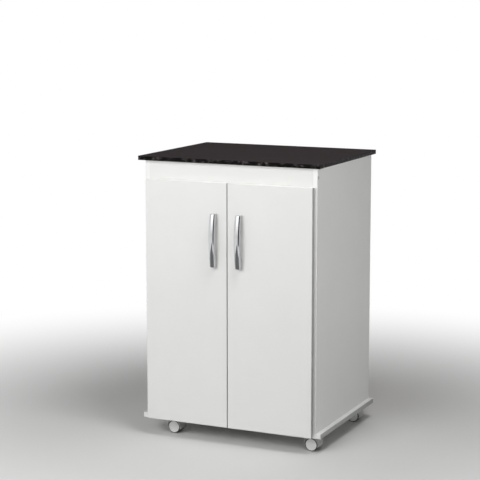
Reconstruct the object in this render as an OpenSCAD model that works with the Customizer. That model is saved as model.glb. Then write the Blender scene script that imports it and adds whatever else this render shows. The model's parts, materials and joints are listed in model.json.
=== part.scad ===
// Microwave cart: a two-door cabinet on four twin-wheel casters, with a dark laminate top.
// Millimetres. +Z is up and the doors face -Y. The origin is on the floor, below the middle of
// the overall box.

/* [Cabinet] */
// Width over the two side panels
cabinet_w = 560; // [480:1:700]
// Depth of the side panels
cabinet_d = 448; // [400:1:520]
// Height of the side panels
side_h = 786; // [640:1:900]
// Thickness of the side, base, shelf and rail boards
board_t = 15; // [15:0.5:18]
// Rounding of a banded board's upright edges
edge_r = 0.8; // [0.5:0.1:1.5]
// Height of the front and rear rails
rail_h = 70; // [66:1:100]
// Thickness of the back panel
back_t = 3; // [2.5:0.1:6]
// How far the back panel reaches into the rebate of each side panel
back_grip = 7; // [4:0.5:9]

/* [Top and base] */
// Thickness of the top panel
top_t = 13; // [12:0.5:25]
// How far the top stands out in front of the side panels
top_front_over = 20; // [0:1:35]
// How far the top stands out at each side
top_side_over = 15; // [0:1:30]
// How far the base stands out at each side
base_side_over = 15; // [0:1:15]

/* [Shelf] */
// Height of the shelf's underside above the base panel
shelf_rise = 380; // [200:1:460]
// Distance from the front of the cabinet to the shelf's front edge
shelf_setback = 20; // [5:1:60]
// Play between the shelf's ends and the side panels, taken up by the pins' collars
shelf_play = 1; // [0.5:0.1:2]
// Distance from the shelf's front and rear edges to its pins
shelf_pin_inset = 60; // [30:1:120]
// Diameter of a shelf pin's shank
shelf_pin_d = 5; // [4:0.5:7]
// How deep a shelf pin goes into the side panel
shelf_pin_depth = 8; // [6:0.5:11]
// Length of the tongue that carries the shelf
shelf_tongue_l = 9; // [6:0.5:14]
// Thickness of the tongue
shelf_tongue_t = 3; // [2:0.5:5]
// Distance from one row of pin holes to the next
shelf_row_pitch = 32; // [20:1:50]

/* [Doors] */
// Thickness of a door
door_t = 15; // [15:0.5:18]
// Gap between the side panels' front edges and the doors
door_gap = 2.4; // [2.2:0.1:4]
// Distance from a side panel's outer face to the door's edge
door_inset = 8.5; // [6.5:0.1:10]
// Gap between the two doors
door_meeting_gap = 2.5; // [1.5:0.1:4]
// Distance from the top panel's underside to the doors' upper edge
door_top_drop = 56; // [20:1:62]
// Height of the doors' lower edge above the base panel's underside
door_bottom_lift = 4; // [0:0.5:12]

/* [Pull handles] */
// Length of a pull
pull_l = 160; // [150:1:180]
// Width of a pull
pull_w = 17; // [10:0.5:24]
// How far the middle of a pull stands out from the door
pull_reach = 27; // [24:0.5:32]
// How far the ends of a pull stand out from the door
pull_end_reach = 18.5; // [14:0.5:22]
// Thickness of the middle of a pull
pull_mid_t = 10.5; // [6:0.5:13]
// Rounding of a pull's long front edges
pull_edge_r = 3; // [1:0.5:5]
// Length of each foot where it meets the door
pull_foot_l = 24; // [22:1:34]
// Distance between a pull's two screws
pull_screw_pitch = 128; // [126:1:132]
// Distance from the doors' meeting edge to the middle of a pull
pull_edge_gap = 40; // [25:1:60]
// Distance from a door's upper edge to the top of its pull
pull_top_drop = 92; // [60:1:200]

/* [Hinges] */
// Distance from a door's upper or lower edge to the middle of a hinge
hinge_end_gap = 90; // [70:1:160]
// Diameter of the hinge cup's hole in the door
cup_d = 35; // [34:0.5:38]
// Depth of the hinge cup's hole
cup_depth = 11.5; // [11:0.1:12.5]
// Distance from the door's edge to the hinge cup
cup_edge = 3; // [2.5:0.1:3.2]
// Wall of the cup
cup_wall = 0.8; // [0.6:0.1:1]
// Thickness of the cup's flange, which lies on the door
cup_flange_t = 0.8; // [0.5:0.1:0.9]
// Distance between a cup's two screws
cup_screw_pitch = 48; // [44:1:54]
// Diameter of the hinge pin
hinge_pin_d = 2; // [1.6:0.1:2.2]
// Wall of the eye round the hinge pin
eye_wall = 0.85; // [0.7:0.05:1]
// Thickness of the arm's neck and strap
neck_t = 2; // [1.5:0.1:2.2]
// Width of the arm's neck, inside the cup
neck_w = 8; // [6:0.5:9]
// Width of the arm on its mounting plate
arm_w = 12; // [10:0.5:16]
// Length of the arm behind the cabinet's front edge
arm_l = 60; // [56:1:75]
// Distance from the cabinet's front edge to the mounting plate's screws
plate_setback = 37; // [34:1:40]
// Distance between a mounting plate's two screws
plate_screw_pitch = 32; // [28:1:40]

/* [Casters] */
// Height of a caster, from the floor to the base panel
caster_h = 50; // [49:0.5:60]
// Diameter of the wheels
wheel_d = 40; // [36:0.5:41]
// Width of one wheel
wheel_w = 13.7; // [10:0.1:16]
// Distance from the swivel axis to the axle
caster_trail = 23; // [22:0.5:26]
// Distance from the cabinet's sides, front and back to each swivel axis
caster_inset = 51; // [46:0.5:70]
// Thickness of the hood's web between the two wheels
web_t = 12; // [11:0.5:16]
// Thickness of the hood over the wheels
hood_t = 2; // [1.5:0.1:2.5]
// Thickness of the tyres
tyre_t = 2.5; // [1.5:0.1:4]
// Diameter of the axle
axle_d = 4; // [3:0.5:5]
// How far the hood's end away from the stem reaches below the axle
hood_skirt = 6; // [2:0.5:10]
// Diameter of the swivel stem
stem_d = 8; // [6:0.5:8]
// Side of the square mounting plate
caster_plate_w = 38; // [36:0.5:44]
// Thickness of the mounting plate
caster_plate_t = 2; // [1.5:0.1:2.5]
// Distance between neighbouring holes of the mounting plate
caster_hole_pitch = 28; // [26:0.5:32]

/* [Fasteners] */
// Length of an assembly screw
joint_screw_l = 50; // [40:1:60]
// Diameter of an assembly screw's head
joint_head_d = 10; // [9:0.5:12]
// Diameter of an assembly screw's plain shank
joint_shank_d = 7; // [6:0.5:8]
// Diameter of an assembly screw's thread
joint_thread_d = 5; // [4:0.5:5.5]
// Distance from the top panel's underside to the rails' assembly screws
joint_screw_drop = 28; // [20:1:30]
// Distance from a rail's assembly screw to its dowel
dowel_pitch = 32; // [24:1:32]
// Diameter of a dowel
dowel_d = 8; // [6:0.5:10]
// Length of a dowel
dowel_l = 30; // [24:1:40]
// Length of each leg of the corner blocks under the top
block_leg = 20; // [18:1:28]
// Width of a corner block
block_w = 28; // [22:1:40]
// Thickness of a corner block's legs
block_t = 3; // [2:0.5:4]
// Distance from the cabinet's middle to each corner block
block_x = 150; // [80:1:190]
// Distance from the corner to a corner block's screws
block_screw_inset = 12; // [10:0.5:16]

/* [Hidden] */
$fn = 48;
cut = 1;                       // how far a cutting shape runs past a face
hole_play = 0.05;              // radial play of a fastener in its hole
running_play = 0.05;           // radial play of a turning pin, stem or wheel
piece_gap = 0.3;               // least gap inside the hinge between pieces that pass
wood_bite = 9;                 // how deep a small screw's bore goes into a board
bore_rest = 1;                 // what is left of a corner block's bore behind its screw

white_board = [0.93, 0.93, 0.92];
dark_laminate = [0.13, 0.11, 0.10];
hardboard = [0.80, 0.79, 0.76];
chrome = [0.80, 0.81, 0.83];
zinc = [0.68, 0.69, 0.70];
beech = [0.78, 0.63, 0.43];
white_plastic = [0.90, 0.90, 0.88];
hood_grey = [0.55, 0.55, 0.55];
hub_grey = [0.80, 0.80, 0.79];
tyre_grey = [0.22, 0.22, 0.22];

left = -1;
right = 1;
front = -1;
rear = 1;
fore = -1;
aft = 1;

// Main planes of the cabinet
front_reach = door_gap + door_t + pull_reach;
front_y = (front_reach - cabinet_d) / 2;
back_y = front_y + cabinet_d;
half_w = cabinet_w / 2;
inner_x = half_w - board_t;
side_z = caster_h + board_t;
top_z = side_z + side_h;
back_face_y = back_y - back_t;

// Doors
door_back_y = front_y - door_gap;
door_face_y = door_back_y - door_t;
door_z = caster_h + door_bottom_lift;
door_h = top_z - door_top_drop - door_z;
door_w = half_w - door_inset - door_meeting_gap / 2;
pull_x = door_meeting_gap / 2 + pull_edge_gap;
pull_z = door_z + door_h - pull_top_drop - pull_l / 2;
hinge_zs = [door_z + hinge_end_gap, door_z + door_h - hinge_end_gap];

// Shelf
shelf_w = 2 * (inner_x - shelf_play);
shelf_front_y = front_y + shelf_setback;
shelf_d = back_face_y - shelf_play - shelf_front_y;
shelf_z = side_z + shelf_rise;
shelf_pin_ys = [shelf_front_y + shelf_pin_inset, shelf_front_y + shelf_d - shelf_pin_inset];
shelf_pin_z = shelf_z - shelf_tongue_t;
shelf_collar_rim = 1.5;
shelf_tongue_w = shelf_pin_d + 2 * shelf_collar_rim;   // also the collar's diameter

// Assembly screws and dowels
front_rail_mid_y = front_y + board_t / 2;
rear_rail_mid_y = back_face_y - board_t / 2;
rail_fastener_zs = [top_z - joint_screw_drop, top_z - joint_screw_drop - dowel_pitch];
dowel_side_rest = 5;           // what is left of a side panel behind a dowel's hole
dowel_side_bite = board_t - dowel_side_rest;
dowel_room = 0.5;              // left at each end of a dowel
joint_head_h = joint_head_d - joint_shank_d;
joint_hex_d = 4.6;             // across the corners of the socket
base_screw_inset = 100;
base_screw_ys = [front_y + base_screw_inset, front_y + cabinet_d / 2, back_y - base_screw_inset];

// Small screws
small_head_r = 3.5;
small_head_h = 2;
small_shank_r = 1.75;
small_head_taper = 1 / 3;
small_slot_reach = 0.55;       // share of the head's radius that the cross slot reaches
small_slot_w = 0.9;
small_slot_depth = 1.1;

// Hinges, in their own frame: x runs from the side panel's inner face into the cabinet, y runs
// forwards from the side panel's front edge, and z = 0 is the middle of the hinge.
hinge_pin_r = hinge_pin_d / 2;
eye_r = hinge_pin_r + running_play + eye_wall;
cup_r = cup_d / 2 - hole_play;
cup_inner_r = cup_r - cup_wall;
cup_x = door_inset - board_t + cup_edge + cup_d / 2;
eye_offset = sqrt(pow(cup_inner_r - piece_gap, 2) - pow(neck_w / 2, 2)) - eye_r;
hinge_x = cup_x - eye_offset;
hinge_depth = cup_depth - cup_wall - piece_gap - eye_r;
hinge_y = door_gap + hinge_depth;
neck_clear = 1.2;
neck_bend = 0.8;               // inner radius of the neck's bend
arm_x = hinge_x + hinge_depth + cup_flange_t + neck_clear;
cup_ear_r = 6;
cup_ear_offset = 6;            // the cup's screws lie this far behind its middle
cup_ear_x = cup_x + cup_ear_offset;
cup_flange_rim = 1;
cup_flange_r = cup_d / 2 + cup_flange_rim;
plate_wing_t = 2;
plate_wing_r = 7;
flange_t = 1.2;
arm_screw_front = 9;           // from the plate's screws forwards to the arm's front screw
arm_screw_rear = 11;           // and back to its rear screw
arm_screw_ys = [-plate_setback + arm_screw_front, -plate_setback - arm_screw_rear];
arm_screw_r = 2;
arm_screw_bite = 6;
arm_flange_h = 5;              // height of the arm's folded edges
arm_flange_setback = 12;       // from the arm's front end to its folded edges
arm_side_play = 0.8;           // between the boss and the folded edges
boss_front = 15;               // how far the boss reaches in front of the plate's screws
boss_rear = 17;                // and behind them
boss_w = arm_w - 2 * (flange_t + arm_side_play);

// Pull handles: two arcs, seen from the side
pull_rise = pull_reach - pull_end_reach;
pull_outer_r = (pow(pull_l / 2, 2) + pow(pull_rise, 2)) / (2 * pull_rise);
pull_gap_half = pull_l / 2 - pull_foot_l;
pull_gap_rise = pull_reach - pull_mid_t;
pull_inner_r = (pow(pull_gap_half, 2) + pow(pull_gap_rise, 2)) / (2 * pull_gap_rise);
pull_screw_r = 2;
pull_screw_bite = 8;
pull_head_r = 4;
pull_head_h = 2;

// Casters, in their own frame: the swivel axis is x = y = 0, and z = 0 is the floor
wheel_r = wheel_d / 2;
axle_r = axle_d / 2;
stem_r = stem_d / 2;
web_gap = 0.5;                 // between the web and each wheel
hood_gap = 1;                  // between the tyres and the hood
cap_t = 2.4;                   // the wheel's outer disc
hole_end_t = 3;                // what is left of the wheel behind its blind hole
cap_dome = 1.1;                // how far the disc bulges out at its middle
cap_step = 1;                  // flat ring round the bulge
tyre_shoulder_r = 1.75;        // rounding of the tyre's edges
axle_end_gap = 0.3;            // between the axle's end and the wheel's blind hole
rim_t = 2;
rim_bite = 0.5;                // straight wall left of the tyre's side below its rounding
hub_wall = 3.2;
hub_r = axle_r + hub_wall;
rib_t = 1.2;
rib_count = 6;
wheel_y = web_t / 2 + web_gap;
hood_r = wheel_r + hood_gap + hood_t;
hood_side_reach = 0.3;         // how far the hood reaches past the wheels' discs
hood_half_w = wheel_y + wheel_w + hood_side_reach;
socket_r = web_t / 2;
dome_r = 10;
dome_t = 2.2;
socket_gap = 0.3;              // between the dome and the hood's socket
socket_top = caster_h - caster_plate_t - dome_t - socket_gap;
socket_h = 20;
stem_l = 18;
caster_corner_r = 5;
caster_hole_r = 2.25;

// ---- Shared shapes ----

// Turns or mirrors what belongs to the right side into place on the given side
module on_side(side) {
    mirror([side < 0 ? 1 : 0, 0, 0]) children();
}

// A rectangle with rounded corners, from the origin
module rounded_rect(w, d, r) {
    translate([r, 0]) square([w - 2 * r, d]);
    translate([0, r]) square([w, d - 2 * r]);
    for (x = [r, w - r])
        for (y = [r, d - r])
            translate([x, y]) circle(r);
}

// A board whose four upright edges are trimmed round
module banded_board(w, d, h) {
    linear_extrude(h) rounded_rect(w, d, edge_r);
}

// An assembly screw along +Z with its head flush at z = 0; play widens it into its own hole
module joint_screw(play = 0) {
    union() {
        cylinder(h = joint_head_h, r1 = joint_head_d / 2 + play, r2 = joint_shank_d / 2 + play);
        cylinder(h = board_t, r = joint_shank_d / 2 + play);
        cylinder(h = joint_screw_l + play, r = joint_thread_d / 2 + play);
    }
}

module joint_screw_hole() {
    joint_screw(hole_play);
    translate([0, 0, -cut]) cylinder(h = cut, r = joint_head_d / 2 + hole_play);
}

// A pan-head screw along +Z; the head's underside is at z = 0 and l is the length below it
module pan_screw(l, shank_r = small_shank_r, head_r = small_head_r, head_h = small_head_h) {
    difference() {
        union() {
            translate([0, 0, -head_h])
                cylinder(h = head_h, r1 = head_r - head_h * small_head_taper, r2 = head_r);
            cylinder(h = l, r = shank_r);
        }
        for (turn = [0, 90])
            rotate([0, 0, turn])
                translate([-head_r * small_slot_reach, -small_slot_w / 2, -head_h - cut])
                    cube([2 * head_r * small_slot_reach, small_slot_w, small_slot_depth + cut]);
    }
}

// ---- Places ----

// Both ends of a rail, from the side panels' outer faces inwards (+Z), at one height
module at_rail_ends(y, z) {
    for (side = [left, right])
        on_side(side) translate([half_w, y, z]) rotate([0, -90, 0]) children();
}

// The front rail has a screw above a dowel at each end, and the rear rail has two dowels
module at_rail_screws() {
    at_rail_ends(front_rail_mid_y, rail_fastener_zs[0]) children();
}

module at_rail_dowels() {
    at_rail_ends(front_rail_mid_y, rail_fastener_zs[1]) children();
    for (z = rail_fastener_zs)
        at_rail_ends(rear_rail_mid_y, z) children();
}

// The screws that come up through the base into one side panel
module at_base_screws() {
    for (y = base_screw_ys)
        translate([half_w - board_t / 2, y, caster_h]) children();
}

// The two hinges of one side, in the hinge's own frame
module at_hinges(side) {
    on_side(side)
        for (z = hinge_zs)
            translate([inner_x, front_y, z]) rotate([0, 0, 180]) children();
}

// A mounting plate's two screws, from the plate's face into the side panel (+Z inwards)
module at_plate_screws() {
    for (z = [-plate_screw_pitch / 2, plate_screw_pitch / 2])
        translate([plate_wing_t, -plate_setback, z]) rotate([0, -90, 0]) children();
}

// The two screws that hold the arm on its mounting plate
module at_arm_screws() {
    for (y = arm_screw_ys)
        translate([arm_x + neck_t, y, 0]) rotate([0, -90, 0]) children();
}

// A cup's two screws, from the flange into the door (+Z forwards)
module at_cup_screws() {
    for (z = [-cup_screw_pitch / 2, cup_screw_pitch / 2])
        translate([cup_ear_x, door_gap - cup_flange_t, z]) rotate([-90, 0, 0]) children();
}

// A pull's two screws, from the door's inner face outwards (+Z forwards)
module at_pull_screws(side) {
    for (z = [pull_z - pull_screw_pitch / 2, pull_z + pull_screw_pitch / 2])
        translate([side * pull_x, door_back_y, z]) rotate([90, 0, 0]) children();
}

// The inner corner between each rail and the top: +Y away from the rail, -Z down
module at_corner_blocks() {
    for (x = [-block_x, block_x]) {
        translate([x, front_y + board_t, top_z]) children();
        translate([x, back_face_y - board_t, top_z]) mirror([0, 1, 0]) children();
    }
}

// A corner block's screw into the rail and its screw into the top
module at_block_screws() {
    translate([0, block_t, -block_screw_inset]) rotate([90, 0, 0]) children();
    translate([0, block_screw_inset, -block_t]) children();
}

module at_caster(x_side, y_side) {
    y = y_side < 0 ? front_y + caster_inset : back_y - caster_inset;
    translate([x_side * (half_w - caster_inset), y, 0]) children();
}

module at_all_casters() {
    for (x_side = [left, right])
        for (y_side = [front, rear])
            at_caster(x_side, y_side) children();
}

// A caster plate's four screws, looking up into the base
module at_caster_screws() {
    half = caster_hole_pitch / 2;
    for (x = [-half, half])
        for (y = [-half, half])
            translate([x, y, caster_h - caster_plate_t]) children();
}

module at_axle() {
    translate([caster_trail, 0, wheel_r]) rotate([90, 0, 0]) children();
}

// ---- Cabinet ----

module top_panel() {
    w = cabinet_w + 2 * top_side_over;
    color(dark_laminate)
        difference() {
            translate([-w / 2, front_y - top_front_over, top_z])
                banded_board(w, cabinet_d + top_front_over, top_t);
            at_corner_blocks()
                translate([0, block_screw_inset, -cut]) cylinder(h = wood_bite + cut, r = small_shank_r + hole_play);
        }
}

module side_panel(side) {
    color(white_board)
        difference() {
            on_side(side) translate([inner_x, front_y, side_z]) cube([board_t, cabinet_d, side_h]);
            on_side(side)
                translate([inner_x - cut, back_face_y, side_z - cut])
                    cube([back_grip + cut, back_t + cut, side_h + 2 * cut]);
            at_rail_screws() joint_screw_hole();
            at_rail_dowels() dowel_hole();
            on_side(side) at_base_screws() joint_screw_hole();
            shelf_pin_holes(side);
            at_hinges(side) at_plate_screws()
                cylinder(h = plate_wing_t + wood_bite, r = small_shank_r + hole_play);
        }
}

// Three rows of holes, so that the shelf can be set higher or lower
module shelf_pin_holes(side) {
    for (y = shelf_pin_ys)
        for (row = [-1, 0, 1])
            translate([side * (inner_x - cut), y, shelf_pin_z + row * shelf_row_pitch])
                rotate([0, side * 90, 0])
                    cylinder(h = shelf_pin_depth + cut, r = shelf_pin_d / 2 + hole_play);
}

module base_panel() {
    w = cabinet_w + 2 * base_side_over;
    color(white_board)
        difference() {
            translate([-w / 2, front_y, caster_h]) banded_board(w, cabinet_d, board_t);
            for (side = [left, right])
                on_side(side) at_base_screws() joint_screw_hole();
            at_all_casters() at_caster_screws()
                cylinder(h = caster_plate_t + wood_bite, r = small_shank_r + hole_play);
        }
}

module rail(y) {
    color(white_board)
        difference() {
            translate([-inner_x, y, top_z - rail_h]) cube([2 * inner_x, board_t, rail_h]);
            at_rail_screws() joint_screw_hole();
            at_rail_dowels() dowel_hole();
            at_corner_blocks()
                translate([0, cut, -block_screw_inset]) rotate([90, 0, 0])
                    cylinder(h = wood_bite + cut, r = small_shank_r + hole_play);
        }
}

module front_rail() {
    rail(front_y);
}

module rear_rail() {
    rail(back_face_y - board_t);
}

module back_panel() {
    half = inner_x + back_grip;
    color(hardboard)
        translate([-half, back_face_y, side_z]) cube([2 * half, back_t, side_h]);
}

module shelf() {
    color(white_board)
        translate([-shelf_w / 2, shelf_front_y, shelf_z]) cube([shelf_w, shelf_d, board_t]);
}

module shelf_pins() {
    color(zinc)
        for (side = [left, right])
            for (y = shelf_pin_ys)
                on_side(side) translate([inner_x, y, 0]) shelf_pin();
}

// A pin for the right side: shank into the panel, collar on its face, tongue under the shelf
module shelf_pin() {
    translate([-shelf_play, 0, shelf_pin_z]) rotate([0, 90, 0])
        cylinder(h = shelf_pin_depth + shelf_play, r = shelf_pin_d / 2);
    translate([-shelf_play, 0, shelf_pin_z]) rotate([0, 90, 0])
        cylinder(h = shelf_play, r = shelf_tongue_w / 2);
    translate([-shelf_play - shelf_tongue_l, -shelf_tongue_w / 2, shelf_z - shelf_tongue_t])
        cube([shelf_tongue_l, shelf_tongue_w, shelf_tongue_t]);
}

module joint_screws() {
    color(zinc) {
        at_rail_screws() socket_screw();
        for (side = [left, right])
            on_side(side) at_base_screws() socket_screw();
    }
}

// An assembly screw with its hexagon socket
module socket_screw() {
    difference() {
        joint_screw();
        translate([0, 0, -cut]) cylinder(h = joint_head_h + cut, r = joint_hex_d / 2, $fn = 6);
    }
}

module rail_dowels() {
    color(beech)
        at_rail_dowels() translate([0, 0, board_t - dowel_side_bite]) cylinder(h = dowel_l, r = dowel_d / 2);
}

// A dowel's hole through the joint, with room at both ends
module dowel_hole() {
    translate([0, 0, board_t - dowel_side_bite - dowel_room])
        cylinder(h = dowel_l + 2 * dowel_room, r = dowel_d / 2 + hole_play);
}

module corner_blocks() {
    color(white_plastic)
        at_corner_blocks() corner_block();
}

// An angle with two gussets, fixed to the rail and to the top
module corner_block() {
    difference() {
        union() {
            translate([-block_w / 2, 0, -block_leg]) cube([block_w, block_t, block_leg]);
            translate([-block_w / 2, 0, -block_t]) cube([block_w, block_leg, block_t]);
            for (x = [-block_w / 2, block_w / 2 - block_t])
                translate([x, 0, 0]) rotate([90, 0, 90])
                    linear_extrude(block_t) polygon([[0, 0], [block_leg, 0], [0, -block_leg]]);
        }
        at_block_screws()
            translate([0, 0, -cut]) cylinder(h = block_t + 2 * cut, r = small_shank_r + hole_play);
    }
}

module corner_block_screws() {
    color(zinc)
        at_corner_blocks() at_block_screws() pan_screw(block_t + wood_bite - bore_rest);
}

// ---- Hinges ----

module hinge_plates() {
    color(zinc)
        for (side = [left, right])
            at_hinges(side) hinge_plate();
}

// A winged plate on the side panel, with the boss that carries the arm
module hinge_plate() {
    half = plate_screw_pitch / 2;
    difference() {
        union() {
            translate([0, -plate_setback, 0]) rotate([0, 90, 0])
                linear_extrude(plate_wing_t) {
                    square([2 * half, 2 * plate_wing_r], center = true);
                    for (x = [-half, half])
                        translate([x, 0]) circle(plate_wing_r);
                }
            translate([0, -plate_setback - boss_rear, -boss_w / 2])
                cube([arm_x, boss_front + boss_rear, boss_w]);
        }
        at_plate_screws()
            translate([0, 0, -cut]) cylinder(h = plate_wing_t + 2 * cut, r = small_shank_r + hole_play);
        at_arm_screws()
            cylinder(h = neck_t + arm_screw_bite + hole_play, r = arm_screw_r + hole_play);
    }
}

module hinge_plate_screws() {
    color(zinc)
        for (side = [left, right])
            at_hinges(side) at_plate_screws() pan_screw(plate_wing_t + wood_bite - hole_play);
}

module hinge_arms() {
    color(zinc)
        for (side = [left, right])
            at_hinges(side) hinge_arm();
}

// A folded channel with a gooseneck: it dips into the cup, and its rolled eye turns on the pin
module hinge_arm() {
    difference() {
        union() {
            translate([arm_x, -arm_l, -arm_w / 2]) cube([neck_t, arm_l - neck_clear, arm_w]);
            for (z = [-arm_w / 2, arm_w / 2 - flange_t])
                translate([arm_x - arm_flange_h, -arm_l, z])
                    cube([arm_flange_h, arm_l - arm_flange_setback, flange_t]);
            translate([0, 0, -neck_w / 2]) linear_extrude(neck_w) gooseneck();
        }
        at_arm_screws()
            translate([0, 0, -cut]) cylinder(h = neck_t + 2 * cut, r = arm_screw_r + hole_play);
    }
}

// The neck's strip and its eye, seen along the pin
module gooseneck() {
    bend_r = neck_t + neck_bend;
    strip_w = arm_x + neck_t - hinge_x;
    strip_h = hinge_y + neck_t / 2 + neck_clear + cut;
    difference() {
        union() {
            translate([hinge_x, -neck_clear - cut])
                difference() {
                    round_corner(strip_w, strip_h, bend_r);
                    translate([-cut, -cut])
                        round_corner(strip_w - neck_t + cut, strip_h - neck_t + cut, bend_r - neck_t);
                }
            translate([hinge_x, hinge_y]) circle(eye_r);
        }
        translate([hinge_x, hinge_y]) circle(hinge_pin_r + running_play);
    }
}

// A rectangle from the origin with only its far corner round
module round_corner(w, h, r) {
    square([w - r, h]);
    square([w, h - r]);
    translate([w - r, h - r]) circle(r);
}

module hinge_arm_screws() {
    color(zinc)
        for (side = [left, right])
            at_hinges(side) at_arm_screws()
                pan_screw(neck_t + arm_screw_bite, arm_screw_r);
}

module hinge_cups(side) {
    color(zinc)
        at_hinges(side) hinge_cup();
}

// A pressed cup in the door, its flange with two ears, and the holes that hold the pin
module hinge_cup() {
    depth = cup_depth - hole_play;
    difference() {
        union() {
            translate([cup_x, door_gap, 0]) rotate([-90, 0, 0]) cylinder(h = depth, r = cup_r);
            translate([0, door_gap - cup_flange_t, 0]) rotate([-90, 0, 0]) linear_extrude(cup_flange_t) {
                translate([cup_x, 0]) circle(cup_flange_r);
                translate([cup_ear_x - cup_ear_r, -cup_screw_pitch / 2])
                    square([2 * cup_ear_r, cup_screw_pitch]);
                for (y = [-cup_screw_pitch / 2, cup_screw_pitch / 2])
                    translate([cup_ear_x, y]) circle(cup_ear_r);
            }
        }
        translate([cup_x, door_gap - cup_flange_t - cut, 0]) rotate([-90, 0, 0])
            cylinder(h = depth + cup_flange_t + cut - cup_wall, r = cup_inner_r);
        pin_in_cup(hinge_pin_r + running_play / 2, cup_wall / 3);
        at_cup_screws()
            translate([0, 0, -cut]) cylinder(h = cup_flange_t + 2 * cut, r = small_shank_r + hole_play);
    }
}

// A pin on the hinge's axis whose ends lie inside the cup's wall, short of its outside by wall_left
module pin_in_cup(r, wall_left) {
    intersection() {
        translate([hinge_x, hinge_y, 0]) cylinder(h = cup_d, r = r, center = true);
        translate([cup_x, door_gap, 0]) rotate([-90, 0, 0]) cylinder(h = cup_depth, r = cup_r - wall_left);
    }
}

module hinge_pins(side) {
    color(zinc)
        at_hinges(side) pin_in_cup(hinge_pin_r, cup_wall / 2);
}

module cup_screws(side) {
    color(zinc)
        at_hinges(side) at_cup_screws() pan_screw(cup_flange_t + wood_bite - hole_play);
}

// ---- Doors and pulls ----

module door(side) {
    color(white_board)
        difference() {
            on_side(side) translate([door_meeting_gap / 2, door_face_y, door_z]) banded_board(door_w, door_t, door_h);
            at_hinges(side)
                translate([cup_x, door_gap - cut, 0]) rotate([-90, 0, 0]) cylinder(h = cup_depth + cut, r = cup_d / 2);
            at_hinges(side) at_cup_screws()
                cylinder(h = cup_flange_t + wood_bite, r = small_shank_r + hole_play);
            at_pull_screws(side)
                translate([0, 0, -cut]) cylinder(h = door_t + 2 * cut, r = pull_screw_r + hole_play);
        }
}

// An arched strap with a rounded front, standing on two feet
module pull(side) {
    color(chrome)
        difference() {
            translate([side * pull_x, door_face_y, pull_z]) rotate([0, 0, 180]) pull_strap();
            at_pull_screws(side)
                cylinder(h = door_t + pull_screw_bite + hole_play, r = pull_screw_r + hole_play);
        }
}

// In the pull's own frame +Y leads away from the door
module pull_strap() {
    difference() {
        intersection() {
            translate([-pull_w / 2, 0, -pull_l / 2]) cube([pull_w, pull_reach, pull_l]);
            translate([0, pull_reach - pull_outer_r, 0]) rotate([0, 90, 0])
                rotate_extrude($fn = 96) pull_section();
        }
        translate([0, pull_reach - pull_mid_t - pull_inner_r, 0]) rotate([0, 90, 0])
            cylinder(h = pull_w + 2 * cut, r = pull_inner_r, center = true, $fn = 96);
    }
}

// The strap's section, from inside the feet to the rounded front
module pull_section() {
    inner = pull_outer_r - pull_reach - cut;
    difference() {
        translate([inner, -pull_w / 2]) square([pull_outer_r - inner, pull_w]);
        for (y = [left, right])
            translate([pull_outer_r - pull_edge_r, y * (pull_w / 2 - pull_edge_r)])
                difference() {
                    translate([0, y < 0 ? -pull_edge_r : 0]) square(pull_edge_r);
                    circle(pull_edge_r);
                }
    }
}

module pull_screws(side) {
    color(zinc)
        at_pull_screws(side) pan_screw(door_t + pull_screw_bite, pull_screw_r, pull_head_r, pull_head_h);
}

// ---- Casters ----

// A square plate under the base, with the dome and the stem that the hood turns on
module caster_plate(x_side, y_side) {
    half = caster_plate_w / 2;
    color(zinc)
        at_caster(x_side, y_side)
            difference() {
                union() {
                    translate([-half, -half, caster_h - caster_plate_t])
                        linear_extrude(caster_plate_t) rounded_rect(caster_plate_w, caster_plate_w, caster_corner_r);
                    translate([0, 0, caster_h - caster_plate_t - dome_t])
                        cylinder(h = dome_t, r1 = dome_r - dome_t, r2 = dome_r);
                    translate([0, 0, socket_top - stem_l])
                        cylinder(h = caster_h - caster_plate_t - socket_top + stem_l, r = stem_r);
                }
                at_caster_screws()
                    translate([0, 0, -cut]) cylinder(h = caster_plate_t + 2 * cut, r = caster_hole_r);
            }
}

module caster_screws() {
    color(zinc)
        at_all_casters() at_caster_screws() pan_screw(caster_plate_t + wood_bite - hole_play);
}

// The web between the wheels, the socket for the stem and the hood over the wheels' upper half
module caster_hood(x_side, y_side) {
    color(hood_grey)
        at_caster(x_side, y_side)
            difference() {
                union() {
                    at_axle() linear_extrude(2 * hood_half_w, center = true) hood_arch();
                    at_axle() linear_extrude(web_t, center = true) circle(wheel_r - tyre_t);
                    at_axle() linear_extrude(web_t, center = true) hood_filling();
                    translate([0, 0, socket_top - socket_h]) cylinder(h = socket_h, r = socket_r);
                }
                translate([0, 0, socket_top - stem_l - web_gap])
                    cylinder(h = stem_l + web_gap + cut, r = stem_r + running_play);
                at_axle() cylinder(h = web_t + 2 * cut, r = axle_r + hole_play, center = true);
            }
}

// A ring over the wheels, seen along the axle; its skirt reaches lower away from the stem
module hood_arch() {
    difference() {
        circle(hood_r, $fn = 64);
        circle(hood_r - hood_t, $fn = 64);
        translate([-hood_r - cut, -hood_r - cut]) square([hood_r + cut, hood_r + cut]);
        translate([-cut, -hood_r - cut]) square([hood_r + 2 * cut, hood_r + cut - hood_skirt]);
    }
}

// Fills the web up to the hood and out to the socket
module hood_filling() {
    intersection() {
        circle(hood_r - hood_t / 2, $fn = 64);
        translate([-hood_r, 0]) square([2 * hood_r, hood_r]);
    }
}

module caster_axle(x_side, y_side) {
    color(zinc)
        at_caster(x_side, y_side) at_axle()
            cylinder(h = 2 * axle_half(), r = axle_r, center = true);
}

// Half of the axle's length: it ends in the wheels' blind holes
function axle_half() = wheel_y + wheel_w - hole_end_t - axle_end_gap;

module caster_wheel(x_side, y_side, end) {
    color(hub_grey)
        at_caster(x_side, y_side) at_axle() mirror([0, 0, end > 0 ? 1 : 0]) translate([0, 0, wheel_y]) wheel_body();
}

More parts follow.
